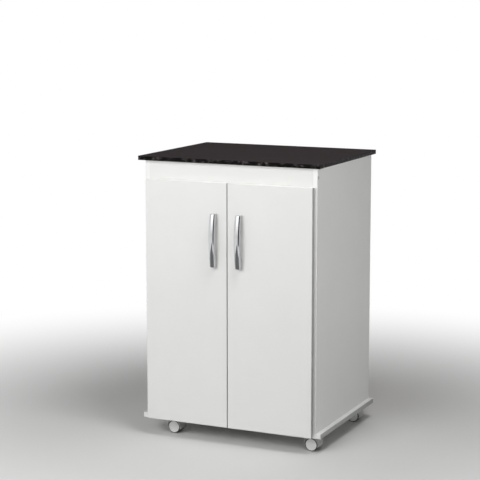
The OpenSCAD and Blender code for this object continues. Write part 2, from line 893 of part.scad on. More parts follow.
// A moulded wheel, open towards the web: hub, ribs and rim behind a domed disc
module wheel_body() {
    rim_r = wheel_r - tyre_t;
    difference() {
        union() {
            rotate_extrude() wheel_section(rim_r);
            for (i = [0 : rib_count - 1])
                rotate([0, 0, i * 360 / rib_count])
                    translate([hub_r - rib_t / 2, -rib_t / 2, rib_t])
                        cube([rim_r - rim_t - hub_r + rib_t, rib_t, wheel_w - cap_t / 2 - rib_t]);
        }
        translate([0, 0, -cut]) cylinder(h = wheel_w - hole_end_t + cut, r = axle_r + running_play);
    }
}

// Half section of the wheel: hub, disc and rim, with a low dome on the disc's outer face
module wheel_section(rim_r) {
    cap_r = rim_r - cap_step;
    dome_ball = (pow(cap_r, 2) + pow(cap_dome, 2)) / (2 * cap_dome);
    face = wheel_w - cap_dome;
    square([hub_r, wheel_w - cap_t / 2]);
    translate([rim_r - rim_t, 0]) square([rim_t, face]);
    translate([0, wheel_w - cap_t]) square([rim_r, face - wheel_w + cap_t]);
    intersection() {
        translate([0, wheel_w - dome_ball]) circle(dome_ball, $fn = 180);
        translate([0, wheel_w - cap_t]) square([rim_r - cap_step / 3, cap_t + cut]);
    }
}

module caster_tyre(x_side, y_side, end) {
    color(tyre_grey)
        at_caster(x_side, y_side) at_axle() mirror([0, 0, end > 0 ? 1 : 0]) translate([0, 0, wheel_y])
            rotate_extrude($fn = 64) tyre_section();
}

// The tyre's section: flat on the rim, crowned at its tread
module tyre_section() {
    tread_h = wheel_w - cap_dome;
    shoulder = min(tyre_shoulder_r, tyre_t - rim_bite);
    translate([wheel_r - tyre_t, 0])
        difference() {
            square([tyre_t, tread_h]);
            for (y = [0, tread_h])
                translate([tyre_t - shoulder, y == 0 ? shoulder : tread_h - shoulder])
                    difference() {
                        translate([0, y == 0 ? -shoulder : 0]) square(shoulder);
                        circle(shoulder);
                    }
        }
}

top_panel();
side_panel(left);  // side_panel_left
side_panel(right);  // side_panel_right
base_panel();
front_rail();
rear_rail();
back_panel();
shelf();
shelf_pins();
joint_screws();
rail_dowels();
corner_blocks();
corner_block_screws();
hinge_plates();
hinge_plate_screws();
hinge_arms();
hinge_arm_screws();
door(left);  // door_left
door(right);  // door_right
pull(left);  // pull_left
pull(right);  // pull_right
pull_screws(left);  // pull_screws_left
pull_screws(right);  // pull_screws_right
hinge_cups(left);  // hinge_cups_left
hinge_cups(right);  // hinge_cups_right
hinge_pins(left);  // hinge_pins_left
hinge_pins(right);  // hinge_pins_right
cup_screws(left);  // cup_screws_left
cup_screws(right);  // cup_screws_right
caster_screws();
caster_plate(left, front);  // front_left_caster_plate
caster_hood(left, front);  // front_left_caster_hood
caster_axle(left, front);  // front_left_caster_axle
caster_wheel(left, front, fore);  // front_left_wheel_fore
caster_wheel(left, front, aft);  // front_left_wheel_aft
caster_tyre(left, front, fore);  // front_left_tyre_fore
caster_tyre(left, front, aft);  // front_left_tyre_aft
caster_plate(right, front);  // front_right_caster_plate
caster_hood(right, front);  // front_right_caster_hood
caster_axle(right, front);  // front_right_caster_axle
caster_wheel(right, front, fore);  // front_right_wheel_fore
caster_wheel(right, front, aft);  // front_right_wheel_aft
caster_tyre(right, front, fore);  // front_right_tyre_fore
caster_tyre(right, front, aft);  // front_right_tyre_aft
caster_plate(left, rear);  // rear_left_caster_plate
caster_hood(left, rear);  // rear_left_caster_hood
caster_axle(left, rear);  // rear_left_caster_axle
caster_wheel(left, rear, fore);  // rear_left_wheel_fore
caster_wheel(left, rear, aft);  // rear_left_wheel_aft
caster_tyre(left, rear, fore);  // rear_left_tyre_fore
caster_tyre(left, rear, aft);  // rear_left_tyre_aft
caster_plate(right, rear);  // rear_right_caster_plate
caster_hood(right, rear);  // rear_right_caster_hood
caster_axle(right, rear);  // rear_right_caster_axle
caster_wheel(right, rear, fore);  // rear_right_wheel_fore
caster_wheel(right, rear, aft);  // rear_right_wheel_aft
caster_tyre(right, rear, fore);  // rear_right_tyre_fore
caster_tyre(right, rear, aft);  // rear_right_tyre_aft
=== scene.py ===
"""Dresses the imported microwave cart: banded boards, a laminate top, chrome pulls, hinges, casters and screws.

Every size is in metres, in the frame's own axes: the doors face -Y and +Z is up.
"""
import json
import math

import bmesh
import bpy
from mathutils import Matrix, Vector


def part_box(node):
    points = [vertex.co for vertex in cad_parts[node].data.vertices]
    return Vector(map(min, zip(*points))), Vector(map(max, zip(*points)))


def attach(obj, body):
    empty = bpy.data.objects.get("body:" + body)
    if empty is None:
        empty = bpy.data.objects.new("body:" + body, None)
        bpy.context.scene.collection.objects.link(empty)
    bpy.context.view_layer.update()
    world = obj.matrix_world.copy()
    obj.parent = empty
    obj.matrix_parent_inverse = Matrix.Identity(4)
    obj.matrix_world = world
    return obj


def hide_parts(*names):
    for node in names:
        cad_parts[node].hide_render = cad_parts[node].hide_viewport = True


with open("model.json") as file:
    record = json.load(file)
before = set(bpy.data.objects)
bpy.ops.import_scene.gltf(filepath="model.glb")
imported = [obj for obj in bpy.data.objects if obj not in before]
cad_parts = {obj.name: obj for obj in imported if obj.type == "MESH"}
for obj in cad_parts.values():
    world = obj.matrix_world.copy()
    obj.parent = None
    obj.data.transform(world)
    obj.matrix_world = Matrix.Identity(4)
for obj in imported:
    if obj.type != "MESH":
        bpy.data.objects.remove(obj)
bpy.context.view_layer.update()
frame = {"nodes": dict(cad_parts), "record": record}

bl_info = {
    "name": "Microwave cart dressing",
    "version": (1, 0, 0),
    "blender": (4, 5, 0),
    "location": "3D View > Sidebar > Cart",
    "description": "Boards, top, pulls, hinges, casters and fasteners around the packed cart",
    "category": "Object",
}

MM = 0.001
X, Y, Z = 0, 1, 2
# Points nearer to each other than SAME are one point, and nearer to a plane than LEVEL lie in it
SAME, LEVEL = 0.001 * MM, 0.1 * MM
HANDS = ("left", "right")
CORNERS = ("front_left", "front_right", "rear_left", "rear_right")
ENDS = ("fore", "aft")
SCREW_NODES = (
    "corner_block_screws", "hinge_plate_screws", "hinge_arm_screws", "pull_screws_left",
    "pull_screws_right", "cup_screws_left", "cup_screws_right", "caster_screws",
)
# The narrow sides of a board that lies flat, in the order in which their bands are butted
ALL_ROUND = ((X, -1), (X, 1), (Y, -1), (Y, 1))
# A joint screw's shank radius and head height, as shares of its head's radius
SHANK_SHARE, HEAD_SHARE = 0.7, 0.6
# A pull's front from its middle to its side: each stretch's turn at its end, in degrees, and its length
SECTION_RUNS = ((12.0, 4.9), (40.0, 1.2), (58.0, 4.4), (90.0, 1.2))
SECTION_STEPS = 6
SCREW_SEED = 7
# Each lamp's name, place, target, width and height, and the piece that casts no shadow from it
LAMPS = (
    ("key", (-0.35, -2.1, 1.4), (-0.1, 0.0, 0.7), (1.1, 0.9), None),
    ("window", (-1.5, -1.6, 1.3), (-0.2, -0.2, 0.6), (1.1, 1.1), None),
    ("fill", (1.15, -0.5, 0.6), (0.28, -0.15, 0.4), (0.3, 1.1), None),
    ("overhead", (0.9, -0.7, 2.5), (0.2, -0.1, 0.4), (0.9, 0.9), "top_board_laminated"),
    ("rear", (-1.3, 2.2, 1.2), (-0.1, 0.2, 0.45), (1.2, 1.2), None),
)
# Each upright card's name, its two ends on the floor, its lower and upper edge, and its level at both edges:
# painted reflections that light nothing
CARDS = (
    ("softbox", (-1.55, -3.15), (2.8, -1.99), (0.42, 2.0), (0.8, 3.0)),
    ("flag_right", (2.8, -1.99), (3.6, 0.4), (-0.1, 2.2), (0.05, 0.05)),
    ("flag_front", (-0.1, -4.1), (0.6, -4.1), (0.0, 0.34), (0.12, 0.12)),
    ("flag_rear", (1.2, 3.3), (-3.4, 1.4), (0.4, 3.0), (0.05, 0.05)),
)
# The corners of the dark card that lies just over the floor, its height and its level: a painted reflection
# seen only in glossy surfaces
FLOOR_CARD = ((-0.9, -0.75), (1.9, -0.6), (1.6, -1.6), (0.75, -3.6), (-0.45, -3.6), (-1.1, -1.7))
FLOOR_CARD_HEIGHT, FLOOR_CARD_LEVEL = 0.003, 0.2
FLOOR_RADIUS = 9.0
# How far from the cart the floor starts to fade to the background, and where it has
FLOOR_FADE = (0.5, 2.0)
WHITE = (1.0, 1.0, 1.0, 1.0)
BLACK = (0.0, 0.0, 0.0, 1.0)
# The colour sockets of a Mix node, which holds a socket of each kind
MIX_A, MIX_B, MIX_RESULT = 6, 7, 2


def linear(hex_code):
    """An sRGB hex code as linear red, green, blue and alpha."""
    channels = [int(hex_code[i:i + 2], 16) / 255 for i in (1, 3, 5)]
    return [c / 12.92 if c <= 0.04045 else ((c + 0.055) / 1.055) ** 2.4 for c in channels] + [1.0]


# ---- Sizes and colours that a user would change ----

def length(name, description, millimetres):
    """A property that holds a size, with its default given in millimetres."""
    return bpy.props.FloatProperty(
        name=name, description=description, default=millimetres * MM, min=0.0, unit="LENGTH", precision=5)


def colour(name, description, hex_code):
    """A property that holds a colour, with its default given as an sRGB hex code."""
    return bpy.props.FloatVectorProperty(name=name, description=description, default=linear(hex_code), size=4,
                                         min=0.0, max=1.0, subtype="COLOR")


def power(name, description, watts):
    """A property that holds a lamp's power in watts."""
    return bpy.props.FloatProperty(
        name=name, description=f"Power of the {description}", default=watts, min=0.0, unit="POWER")


class CartBoards(bpy.types.PropertyGroup):
    """The melamine boards and their edge bands"""
    band_t: length("Band", "Thickness of the edge bands", 0.9)
    band_round: length("Band rounding", "Rounding of a band's outer edges", 0.6)
    seam: length("Seam", "Chamfer of the board beside a band", 0.15)
    bore_play: length("Bore play", "Radial play of a fastener in its bore", 0.05)
    bore_rest: length("Bore rest", "What is left of a bore behind its screw", 0.4)
    pin_row_pitch: length("Pin rows", "Distance between the rows of shelf pin holes", 32)
    nail_pitch: length("Nail pitch", "Distance between the nails of the back panel", 86)
    nail_r: length("Nail head", "Radius of a nail's head", 1.6)
    nail_rise: length("Nail rise", "How far a nail's head stands out of the back panel", 0.35)
    white: colour("White", "Melamine of the boards", "#EFEFED")
    band_white: colour("Band white", "Edge bands of the white boards", "#F3F3F1")
    # Painted shade: the grey given to the edge bands that face along X, where the cart's sides fall in shade
    side_band: colour("Side band", "Edge bands along the boards' sides", "#AAAAA8")
    chipboard: colour("Chipboard", "Raw edges of the boards", "#C3A176")
    hardboard: colour("Hardboard", "Rear face of the back panel", "#8A6546")
    beech_dark: colour("Beech grain", "Darker grain of the dowels", "#B98D5F")
    beech_pale: colour("Beech", "Paler grain of the dowels", "#DDBB90")


class CartTop(bpy.types.PropertyGroup):
    """The laminate top"""
    sheet_t: length("Sheet", "Thickness of the laminate on the upper face", 0.8)
    sheet_round: length("Sheet rounding", "Rounding of the sheet's trimmed edge", 0.5)
    dark: colour("Stone ground", "Ground colour of the laminate", "#231F20")
    fleck: colour("Stone fleck", "Lighter flecks of the laminate", "#4B4142")
    edge: colour("Edge ground", "Ground colour of the edge bands", "#070606")
    edge_fleck: colour("Edge fleck", "Lighter mottling of the edge bands", "#625A5A")


class CartPulls(bpy.types.PropertyGroup):
    """The arched chrome pulls"""
    end_reach: length("End reach", "How far the ends stand out from the door", 18.5)
    mid_t: length("Middle", "Thickness of the middle of a pull", 10.5)
    foot_l: length("Foot", "Length of each foot on the door", 24)
    arris: length("Arris", "Rounding of the ends and rear edges", 0.8)
    chrome: colour("Chrome", "Tint of the plating", "#D0D1D3")


class CartHardware(bpy.types.PropertyGroup):
    """Hinges, pins, screws and blocks"""
    arris: length("Arris", "Rounding of the pressed steel edges", 0.25)
    block_arris: length("Block arris", "Rounding of the moulded blocks' edges", 0.5)
    recess_w: length("Recess width", "Width of a screw's cross recess", 0.9)
    recess_depth: length("Recess depth", "Depth of a screw's cross recess", 1.1)
    nickel: colour("Nickel", "Tint of the nickel plating", "#C9C6C0")
    zinc: colour("Zinc", "Tint of the zinc plating", "#B9BCC0")
    block: colour("Block", "Moulded blocks", "#E9E8E3")


class CartCasters(bpy.types.PropertyGroup):
    """Plates, hoods, wheels and tyres"""
    arris: length("Arris", "Rounding of the moulded edges", 0.4)
    plate_arris: length("Plate arris", "Rounding of the plate's edges", 0.3)
    shoulder: length("Tyre shoulder", "Rounding of the tyre's shoulders", 1.2)
    hood: colour("Hood", "Moulded hood and web", "#A9A9A8")
    wheel: colour("Wheel", "Moulded wheel disc", "#F4F4F3")
    tyre: colour("Tyre", "Rubber of the tyres", "#2A2A2B")


class CartStage(bpy.types.PropertyGroup):
    """Camera, lights and floor"""
    camera_place: bpy.props.FloatVectorProperty(
        name="Camera", description="Place of the camera", default=(1.9126, -4.242, 1.3475), unit="LENGTH")
    camera_yaw: bpy.props.FloatProperty(
        name="Yaw", description="Turn of the camera about the vertical", default=0.4326, unit="ROTATION")
    camera_pitch: bpy.props.FloatProperty(
        name="Pitch", description="Downward tilt of the camera", default=0.14, unit="ROTATION")
    lens: bpy.props.FloatProperty(
        name="Lens", description="Focal length in millimetres on a 36 mm sensor", default=114.51, min=1.0)
    shift: bpy.props.FloatVectorProperty(
        name="Shift", description="Lens shift for the framing", default=(-0.0081, -0.0653), size=2)
    ambient: bpy.props.FloatProperty(
        name="Ambient", description="Strength of the world's light", default=0.1, min=0.0)
    key: power("Key", "key light", 22)
    window: power("Window", "left-hand light", 6)
    fill: power("Fill", "right-hand light", 1)
    overhead: power("Overhead", "overhead light", 24)
    rear: power("Rear", "light behind the cart", 7)
    floor: colour("Floor", "Pale floor", "#DDDDDC")


SETTINGS = {
    "cart_boards": CartBoards, "cart_top": CartTop, "cart_pulls": CartPulls,
    "cart_hardware": CartHardware, "cart_casters": CartCasters, "cart_stage": CartStage,
}


# ---- Materials ----

def add(tree, kind, inputs=None, onward=None, **settings):
    """Adds a node with its settings and inputs, each a value or a socket, and links its outputs onward."""
    node = tree.nodes.new(kind)
    for key, value in settings.items():
        setattr(node, key, value)
    for key, value in (inputs or {}).items():
        if isinstance(value, bpy.types.NodeSocket):
            tree.links.new(value, node.inputs[key])
        else:
            node.inputs[key].default_value = value
    for key, socket in (onward or {}).items():
        tree.links.new(node.outputs[key], socket)
    return node


def finish(build):
    """The material that a build function makes, made once."""
    return bpy.data.materials.get(build.__name__) or build()


def surface(name, roughness, metallic=0.0, ior=1.5):
    """A material, its node tree and its shader, with the values that are the same all over."""
    material = bpy.data.materials.new(name)
    material.use_nodes = True
    tree = material.node_tree
    shader = tree.nodes["Principled BSDF"]
    shader.inputs["Roughness"].default_value = roughness
    shader.inputs["Metallic"].default_value = metallic
    shader.inputs["IOR"].default_value = ior
    return material, tree, shader


def places(tree, scale=(1.0, 1.0, 1.0)):
    """The surface's own coordinates in metres, stretched for a pattern."""
    own = add(tree, "ShaderNodeTexCoord")
    mapping = add(tree, "ShaderNodeMapping", {"Scale": scale, "Vector": own.outputs["Object"]})
    return mapping.outputs["Vector"]


def per_metre(size_mm):
    """The texture scale at which one cell of a pattern has the given size."""
    return 1.0 / (size_mm * MM)


def mixed(colour_a, amount, colour_b):
    """A colour between two others."""
    return [a + (b - a) * amount for a, b in zip(colour_a, colour_b)]


def darker(tone, amount):
    """A colour some way towards black."""
    return mixed(tone, amount, BLACK)


def lighter(tone, amount):
    """A colour some way towards white."""
    return mixed(tone, amount, WHITE)


def end_finish(tree, shader, tones, share, height, strength, relief_mm):
    """Gives a shader its colour, a share of the way between two tones, and its relief."""
    add(tree, "ShaderNodeMix", {MIX_A: tones[0], MIX_B: tones[1], 0: share},
        {MIX_RESULT: shader.inputs["Base Color"]}, data_type="RGBA")
    add(tree, "ShaderNodeBump", {"Strength": strength, "Distance": relief_mm * MM, "Height": height},
        {0: shader.inputs["Normal"]})


def clouded(name, tones, cloud_mm, roughness, strength, relief_mm, grain_mm=None, **values):
    """A finish whose tone and gloss drift in soft clouds, with the fine relief of its making."""
    material, tree, shader = surface(name, roughness[0], **values)
    where = places(tree)
    cloud = add(tree, "ShaderNodeTexNoise", {"Scale": per_metre(cloud_mm), "Detail": 3.0, "Vector": where})
    if len(roughness) > 1:
        add(tree, "ShaderNodeMapRange",
            {"To Min": roughness[0], "To Max": roughness[1], "Value": cloud.outputs[0]},
            {0: shader.inputs["Roughness"]})
    relief = cloud
    if grain_mm:
        grain = {"Scale": per_metre(grain_mm), "Detail": 2.0, "Vector": where}
        relief = add(tree, "ShaderNodeTexNoise", grain)
    end_finish(tree, shader, tones, cloud.outputs[0], relief.outputs[0], strength, relief_mm)
    return material


def white_melamine():
    """Melamine-faced board, pressed on a fine-grained plate: an even satin white with a faint grain."""
    white = bpy.context.scene.cart_boards.white
    return clouded("white_melamine", (white, darker(white, 0.035)), cloud_mm=90, roughness=(0.38, 0.48),
                   strength=0.12, relief_mm=0.05, grain_mm=1.1)


def white_band():
    """ABS edge band, ironed on: smoother than the board's face, with painted shade that turns the bands facing
    along X grey.
    """
    sizes = bpy.context.scene.cart_boards
    material, tree, shader = surface("white_band", roughness=0.33, ior=1.53)
    ripple = add(tree, "ShaderNodeTexNoise", {"Scale": per_metre(14), "Detail": 2.0, "Vector": places(tree)})
    tone = add(tree, "ShaderNodeMix",
               {MIX_A: sizes.band_white, MIX_B: darker(sizes.band_white, 0.03), 0: ripple.outputs[0]},
               data_type="RGBA")
    # Painted shade: the more a band faces along X, the more it turns to the side band's grey
    own = add(tree, "ShaderNodeTexCoord")
    faces = add(tree, "ShaderNodeSeparateXYZ", {0: own.outputs["Normal"]})
    sideways_shade = add(tree, "ShaderNodeMath", {0: faces.outputs["X"]}, operation="ABSOLUTE")
    amount = add(tree, "ShaderNodeMapRange", {"From Min": 0.6, "From Max": 0.9, "Value": sideways_shade.outputs[0]})
    end_finish(tree, shader, (tone.outputs[MIX_RESULT], sizes.side_band), amount.outputs[0],
               ripple.outputs[0], strength=0.1, relief_mm=0.1)
    return material


def raw_chipboard():
    """Sawn particle board: pale brown chips with dark gaps, dry and rough."""
    chip = bpy.context.scene.cart_boards.chipboard
    material, tree, shader = surface("raw_chipboard", roughness=0.9, ior=1.45)
    chips = add(tree, "ShaderNodeTexVoronoi", {"Scale": per_metre(2.2), "Vector": places(tree)})
    end_finish(tree, shader, (darker(chip, 0.35), lighter(chip, 0.25)), chips.outputs["Color"],
               chips.outputs["Distance"], strength=0.5, relief_mm=0.3)
    return material


def painted_hardboard():
    """Hardboard, smooth and painted white towards the inside, with bare brown fibre at the rear."""
    sizes = bpy.context.scene.cart_boards
    brown = sizes.hardboard
    material, tree, shader = surface("painted_hardboard", roughness=0.6)
    where = places(tree)
    fibre = add(tree, "ShaderNodeTexNoise",
                {"Scale": per_metre(3), "Detail": 6.0, "Roughness": 0.7, "Vector": where})
    patch = add(tree, "ShaderNodeTexNoise", {"Scale": per_metre(120), "Detail": 2.0, "Vector": where})
    fibres = add(tree, "ShaderNodeMix",
                 {MIX_A: darker(brown, 0.25), MIX_B: lighter(brown, 0.18), 0: fibre.outputs[0]},
                 data_type="RGBA")
    rear = add(tree, "ShaderNodeMix", {MIX_B: brown, 0: patch.outputs[0], MIX_A: fibres.outputs[MIX_RESULT]},
               data_type="RGBA")
    lo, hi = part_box("back_panel")
    split = add(tree, "ShaderNodeSeparateXYZ", {0: where})
    behind = add(tree, "ShaderNodeMath", {1: (lo.y + hi.y) / 2, 0: split.outputs["Y"]},
                 operation="GREATER_THAN")
    end_finish(tree, shader, (sizes.white, rear.outputs[MIX_RESULT]), behind.outputs[0], fibre.outputs[0],
               strength=0.3, relief_mm=0.1)
    return material


def stone(name, ground, fleck, roughness, cell_mm, fleck_range):
    """High-pressure laminate with a dark stone print: flecks and soft clouds under a satin overlay."""
    material, tree, shader = surface(name, roughness=roughness)
    shader.inputs["Specular IOR Level"].default_value = 0.06
    where = places(tree)
    cloud = add(tree, "ShaderNodeTexNoise",
                {"Scale": per_metre(cell_mm), "Detail": 4.0, "Roughness": 0.65, "Vector": where})
    cells = add(tree, "ShaderNodeTexVoronoi", {"Scale": per_metre(cell_mm * 0.35), "Vector": where})
    contrast = add(tree, "ShaderNodeMapRange",
                   {"From Min": fleck_range[0], "From Max": fleck_range[1], "Value": cloud.outputs[0]})
    flecks = add(tree, "ShaderNodeMath", {0: contrast.outputs[0], 1: cells.outputs["Color"]},
                 operation="MULTIPLY")
    end_finish(tree, shader, (ground, fleck), flecks.outputs[0], cloud.outputs[0],
               strength=0.15, relief_mm=0.1)
    return material


def stone_laminate():
    """The top's upper face: brown-black with fine lighter flecks."""
    top = bpy.context.scene.cart_top
    return stone("stone_laminate", top.dark, top.fleck, roughness=0.36, cell_mm=6, fleck_range=(0.35, 0.65))


def stone_edge():
    """The top's edge bands: nearly black, with coarser mottling."""
    top = bpy.context.scene.cart_top
    return stone("stone_edge", top.edge, top.edge_fleck, roughness=0.4, cell_mm=14, fleck_range=(0.5, 0.62))


def plated(name, tint, roughness, grain_mm, relief_mm):
    """A plated metal: its tint, with a fine grain that breaks up the gloss."""
    return clouded(name, (tint, darker(tint, 0.08)), grain_mm, (roughness * 0.8, roughness * 1.25),
                   strength=0.2, relief_mm=relief_mm, metallic=1.0)


def chrome_plate():
    """Polished chrome on a die casting: mirror-like, with the slight waviness of a buffed casting."""
    tint = bpy.context.scene.cart_pulls.chrome
    return plated("chrome_plate", tint, roughness=0.07, grain_mm=22, relief_mm=0.1)


def nickel_plate():
    """Nickel-plated pressed steel: a warm, soft shine."""
    tint = bpy.context.scene.cart_hardware.nickel
    return plated("nickel_plate", tint, roughness=0.26, grain_mm=4, relief_mm=0.03)


def zinc_plate():
    """Zinc-plated steel: cooler and duller, with cloudy passivation."""
    tint = bpy.context.scene.cart_hardware.zinc
    return plated("zinc_plate", tint, roughness=0.38, grain_mm=3, relief_mm=0.03)


def moulded(name, tint, roughness, grain_mm=0.8, strength=0.15):
    """An injection-moulded plastic: an even tint with the fine texture of its mould."""
    return clouded(name, (tint, darker(tint, 0.1)), cloud_mm=9, roughness=(roughness,), strength=strength,
                   relief_mm=0.05, grain_mm=grain_mm, ior=1.49)


def moulded_nylon():
    """The wheels' moulded nylon: pale grey, satin."""
    return moulded("moulded_nylon", bpy.context.scene.cart_casters.wheel, roughness=0.34)


def moulded_hood():
    """The hoods' moulded polypropylene: mid grey, satin."""
    return moulded("moulded_hood", bpy.context.scene.cart_casters.hood, roughness=0.38)


def moulded_block():
    """The corner blocks' moulded plastic: off-white."""
    return moulded("moulded_block", bpy.context.scene.cart_hardware.block, roughness=0.45)


def soft_rubber():
    """The tyres' soft rubber: dark and matt, slightly dusty."""
    tint = bpy.context.scene.cart_casters.tyre
    return moulded("soft_rubber", tint, roughness=0.72, grain_mm=0.5, strength=0.4)


def turned_beech():
    """Turned beech dowel: pale pinkish brown with fine straight grain along X."""
    sizes = bpy.context.scene.cart_boards
    material, tree, shader = surface("turned_beech", roughness=0.6)
    grain = add(tree, "ShaderNodeTexNoise",
                {"Scale": per_metre(0.7), "Detail": 4.0, "Vector": places(tree, scale=(0.08, 1.0, 1.0))})
    add(tree, "ShaderNodeMix", {MIX_A: sizes.beech_dark, MIX_B: sizes.beech_pale, 0: grain.outputs[0]},
        {MIX_RESULT: shader.inputs["Base Color"]}, data_type="RGBA")
    return material


# ---- Shared mesh code ----

def mesh_of(bm, name, slot=None):
    """Turns mesh code's result into a mesh, all in one material slot if one is given, and frees it."""
    mesh = bpy.data.meshes.new(name)
    bm.to_mesh(mesh)
    bm.free()
    if slot is not None:
        mesh.polygons.foreach_set("material_index", [slot] * len(mesh.polygons))
    return mesh


def linked(name, data):
    """A new object in the scene that shows the given data."""
    obj = bpy.data.objects.new(name, data)
    bpy.context.scene.collection.objects.link(obj)
    return obj


def merged_copy(node):
    """A copy of a node's mesh with its loose triangles joined into closed solids."""
    bm = bmesh.new()
    bm.from_mesh(frame["nodes"][node].data)
    bmesh.ops.remove_doubles(bm, verts=bm.verts, dist=SAME)
    return bm


def solids_of(node):
    """The separate solids of a node, each as the list of its corners' places."""
    bm = merged_copy(node)
    left, groups = set(bm.verts), []
    for first in bm.verts:
        if first not in left:
            continue
        left.remove(first)
        todo, group = [first], []
        while todo:
            vert = todo.pop()
            group.append(vert.co.copy())
            near = [edge.other_vert(vert) for edge in vert.link_edges]
            fresh = [v for v in near if v in left]
            left.difference_update(fresh)
            todo.extend(fresh)
        groups.append(group)
    bm.free()
    return groups


def corners_of(points):
    """Lowest and highest corner of a list of places."""
    return (Vector([min(p[i] for p in points) for i in range(3)]),
            Vector([max(p[i] for p in points) for i in range(3)]))


def pins_of(node):
    """Where each round fastener of a node lies: its thick end, its direction, length and end radii."""
    pins = []
    # Deep enough to reach the widest part of a small screw's head, which is 2 mm high
    end_zone = 2.2 * MM
    for points in solids_of(node):
        lo, hi = corners_of(points)
        axis = max(range(3), key=lambda i: hi[i] - lo[i])
        middle, length = (lo + hi) / 2, hi[axis] - lo[axis]
        radii = []
        for end in (lo[axis], hi[axis]):
            rim = [p for p in points if abs(p[axis] - end) < end_zone]
            radii.append(max((p - middle - axis_vector(axis, p[axis] - middle[axis])).length for p in rim))
        sign = 1 if radii[0] >= radii[1] else -1
        pins.append({"start": middle - axis_vector(axis, sign * length / 2), "way": axis_vector(axis, sign),
                     "length": length, "thick": max(radii), "thin": min(radii)})
    return pins


def axis_vector(axis, size=1.0):
    """A vector along one axis."""
    vector = Vector((0.0, 0.0, 0.0))
    vector[axis] = size
    return vector


def round_edges(bm, edges, rounding, segments):
    """Rounds edges, or chamfers them where it is done in one segment."""
    bmesh.ops.bevel(bm, geom=edges, offset=rounding, segments=segments, profile=0.5, affect="EDGES",
                    clamp_overlap=True)


def box_mesh(lo, hi, rounding=0.0, segments=1, side=None, slot=0):
    """A box with all its edges rounded, or only those round one side, given as its axis and sign."""
    bm = bmesh.new()
    bmesh.ops.create_cube(bm, size=1.0)
    for vert in bm.verts:
        vert.co = Vector([lo[i] + (vert.co[i] + 0.5) * (hi[i] - lo[i]) for i in range(3)])
    edges = bm.edges[:]
    if side:
        axis, sign = side
        face = hi[axis] if sign > 0 else lo[axis]
        edges = [e for e in edges if all(abs(vert.co[axis] - face) < LEVEL for vert in e.verts)]
    if rounding:
        round_edges(bm, edges, rounding, segments)
    return mesh_of(bm, "box", slot)


def joined(meshes, name):
    """One mesh of several, which are used up."""
    bm = bmesh.new()
    for mesh in meshes:
        bm.from_mesh(mesh)
        bpy.data.meshes.remove(mesh)
    return mesh_of(bm, name)


def skin(bm, rings, loop=False):
    """Joins rings of points, or single points, by faces, into a closed loop or capped at both ends."""
    for low, high in zip(rings, rings[1:] + rings[:1] if loop else rings[1:]):
        for i in range(max(len(low), len(high))):
            j = i + 1
            corners = (low[i % len(low)], low[j % len(low)], high[j % len(high)], high[i % len(high)])
            bm.faces.new(list(dict.fromkeys(corners)))
    for cap in [] if loop else [rings[0][::-1], rings[-1]]:
        if len(cap) > 1:
            bm.faces.new(cap)
    bmesh.ops.recalc_face_normals(bm, faces=bm.faces)


def turns(segments):
    """The cosine and sine of each step of a full turn."""
    angles = [2 * math.pi * i / segments for i in range(segments)]
    return [(math.cos(angle), math.sin(angle)) for angle in angles]


def quarter(steps):
    """The cosine and sine of each step of a quarter turn, both its ends among them."""
    angles = [math.radians(90 * i / steps) for i in range(steps + 1)]
    return [(math.cos(angle), math.sin(angle)) for angle in angles]


def revolved(profile, segments, slot=0):
    """A shape turned round Z from (radius, height) pairs, closed at both ends."""
    bm = bmesh.new()
    rings = []
    for radius, height in profile:
        steps = turns(segments) if radius else [(0.0, 0.0)]
        rings.append([bm.verts.new((radius * c, radius * s, height)) for c, s in steps])
    skin(bm, rings)
    return mesh_of(bm, "revolved", slot)


def bore(profile, place, way, segments=24):
    """A turned cutter that starts at a place and runs along a direction."""
    mesh = revolved(profile, segments, slot=1)
    mesh.transform(Matrix.Translation(place) @ way.to_track_quat("Z", "Y").to_matrix().to_4x4())
    return mesh


def evaluated(mesh, modify, name):
    """A plain mesh from a mesh and the modifiers that modify adds to its object."""
    obj = linked(name, mesh)
    modify(obj)
    result = bpy.data.meshes.new_from_object(obj.evaluated_get(bpy.context.evaluated_depsgraph_get()))
    bpy.data.objects.remove(obj)
    return result


def cut_out(mesh, cutters, name):
    """The mesh with each cutter mesh taken away in turn."""
    tools = [linked("cutter", cutter) for cutter in cutters]

    def modify(obj):
        for tool in tools:
            boolean = obj.modifiers.new("cut", "BOOLEAN")
            boolean.operation = "DIFFERENCE"
            boolean.solver = "EXACT"
            boolean.object = tool

    result = evaluated(mesh, modify, name)
    for tool in tools:
        bpy.data.objects.remove(tool)
    return closed(result)


def closed(mesh):
    """The mesh, after the slivers that a cut can leave are merged and its pinholes filled."""
    bm = bmesh.new()
    bm.from_mesh(mesh)
    sliver = 0.002 * MM
    bmesh.ops.remove_doubles(bm, verts=bm.verts, dist=sliver)
    bmesh.ops.dissolve_degenerate(bm, edges=bm.edges, dist=sliver)
    bmesh.ops.holes_fill(bm, edges=[e for e in bm.edges if e.is_boundary], sides=0)
    bm.to_mesh(mesh)
    bm.free()
    return mesh


def piece(name, mesh, finishes, slot, *replaced, sharp_degrees=35.0):
    """Links a finished piece, gives it its materials, hangs it on the body that it rides on and hides the nodes
    that it stands for.
    """
    body = body_of(replaced[0]) if replaced else "cabinet"
    mesh.name = name
    obj = linked(name, mesh)
    indices = [polygon.material_index for polygon in mesh.polygons]
    mesh.materials.clear()
    for build in finishes:
        mesh.materials.append(finish(build))
    # Clearing the list sends every face back to the first finish
    for polygon, index in zip(mesh.polygons, indices):
        polygon.material_index = index
        polygon.use_smooth = True
    mesh.set_sharp_from_angle(angle=math.radians(sharp_degrees))
    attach(obj, body)
    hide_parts(*replaced)


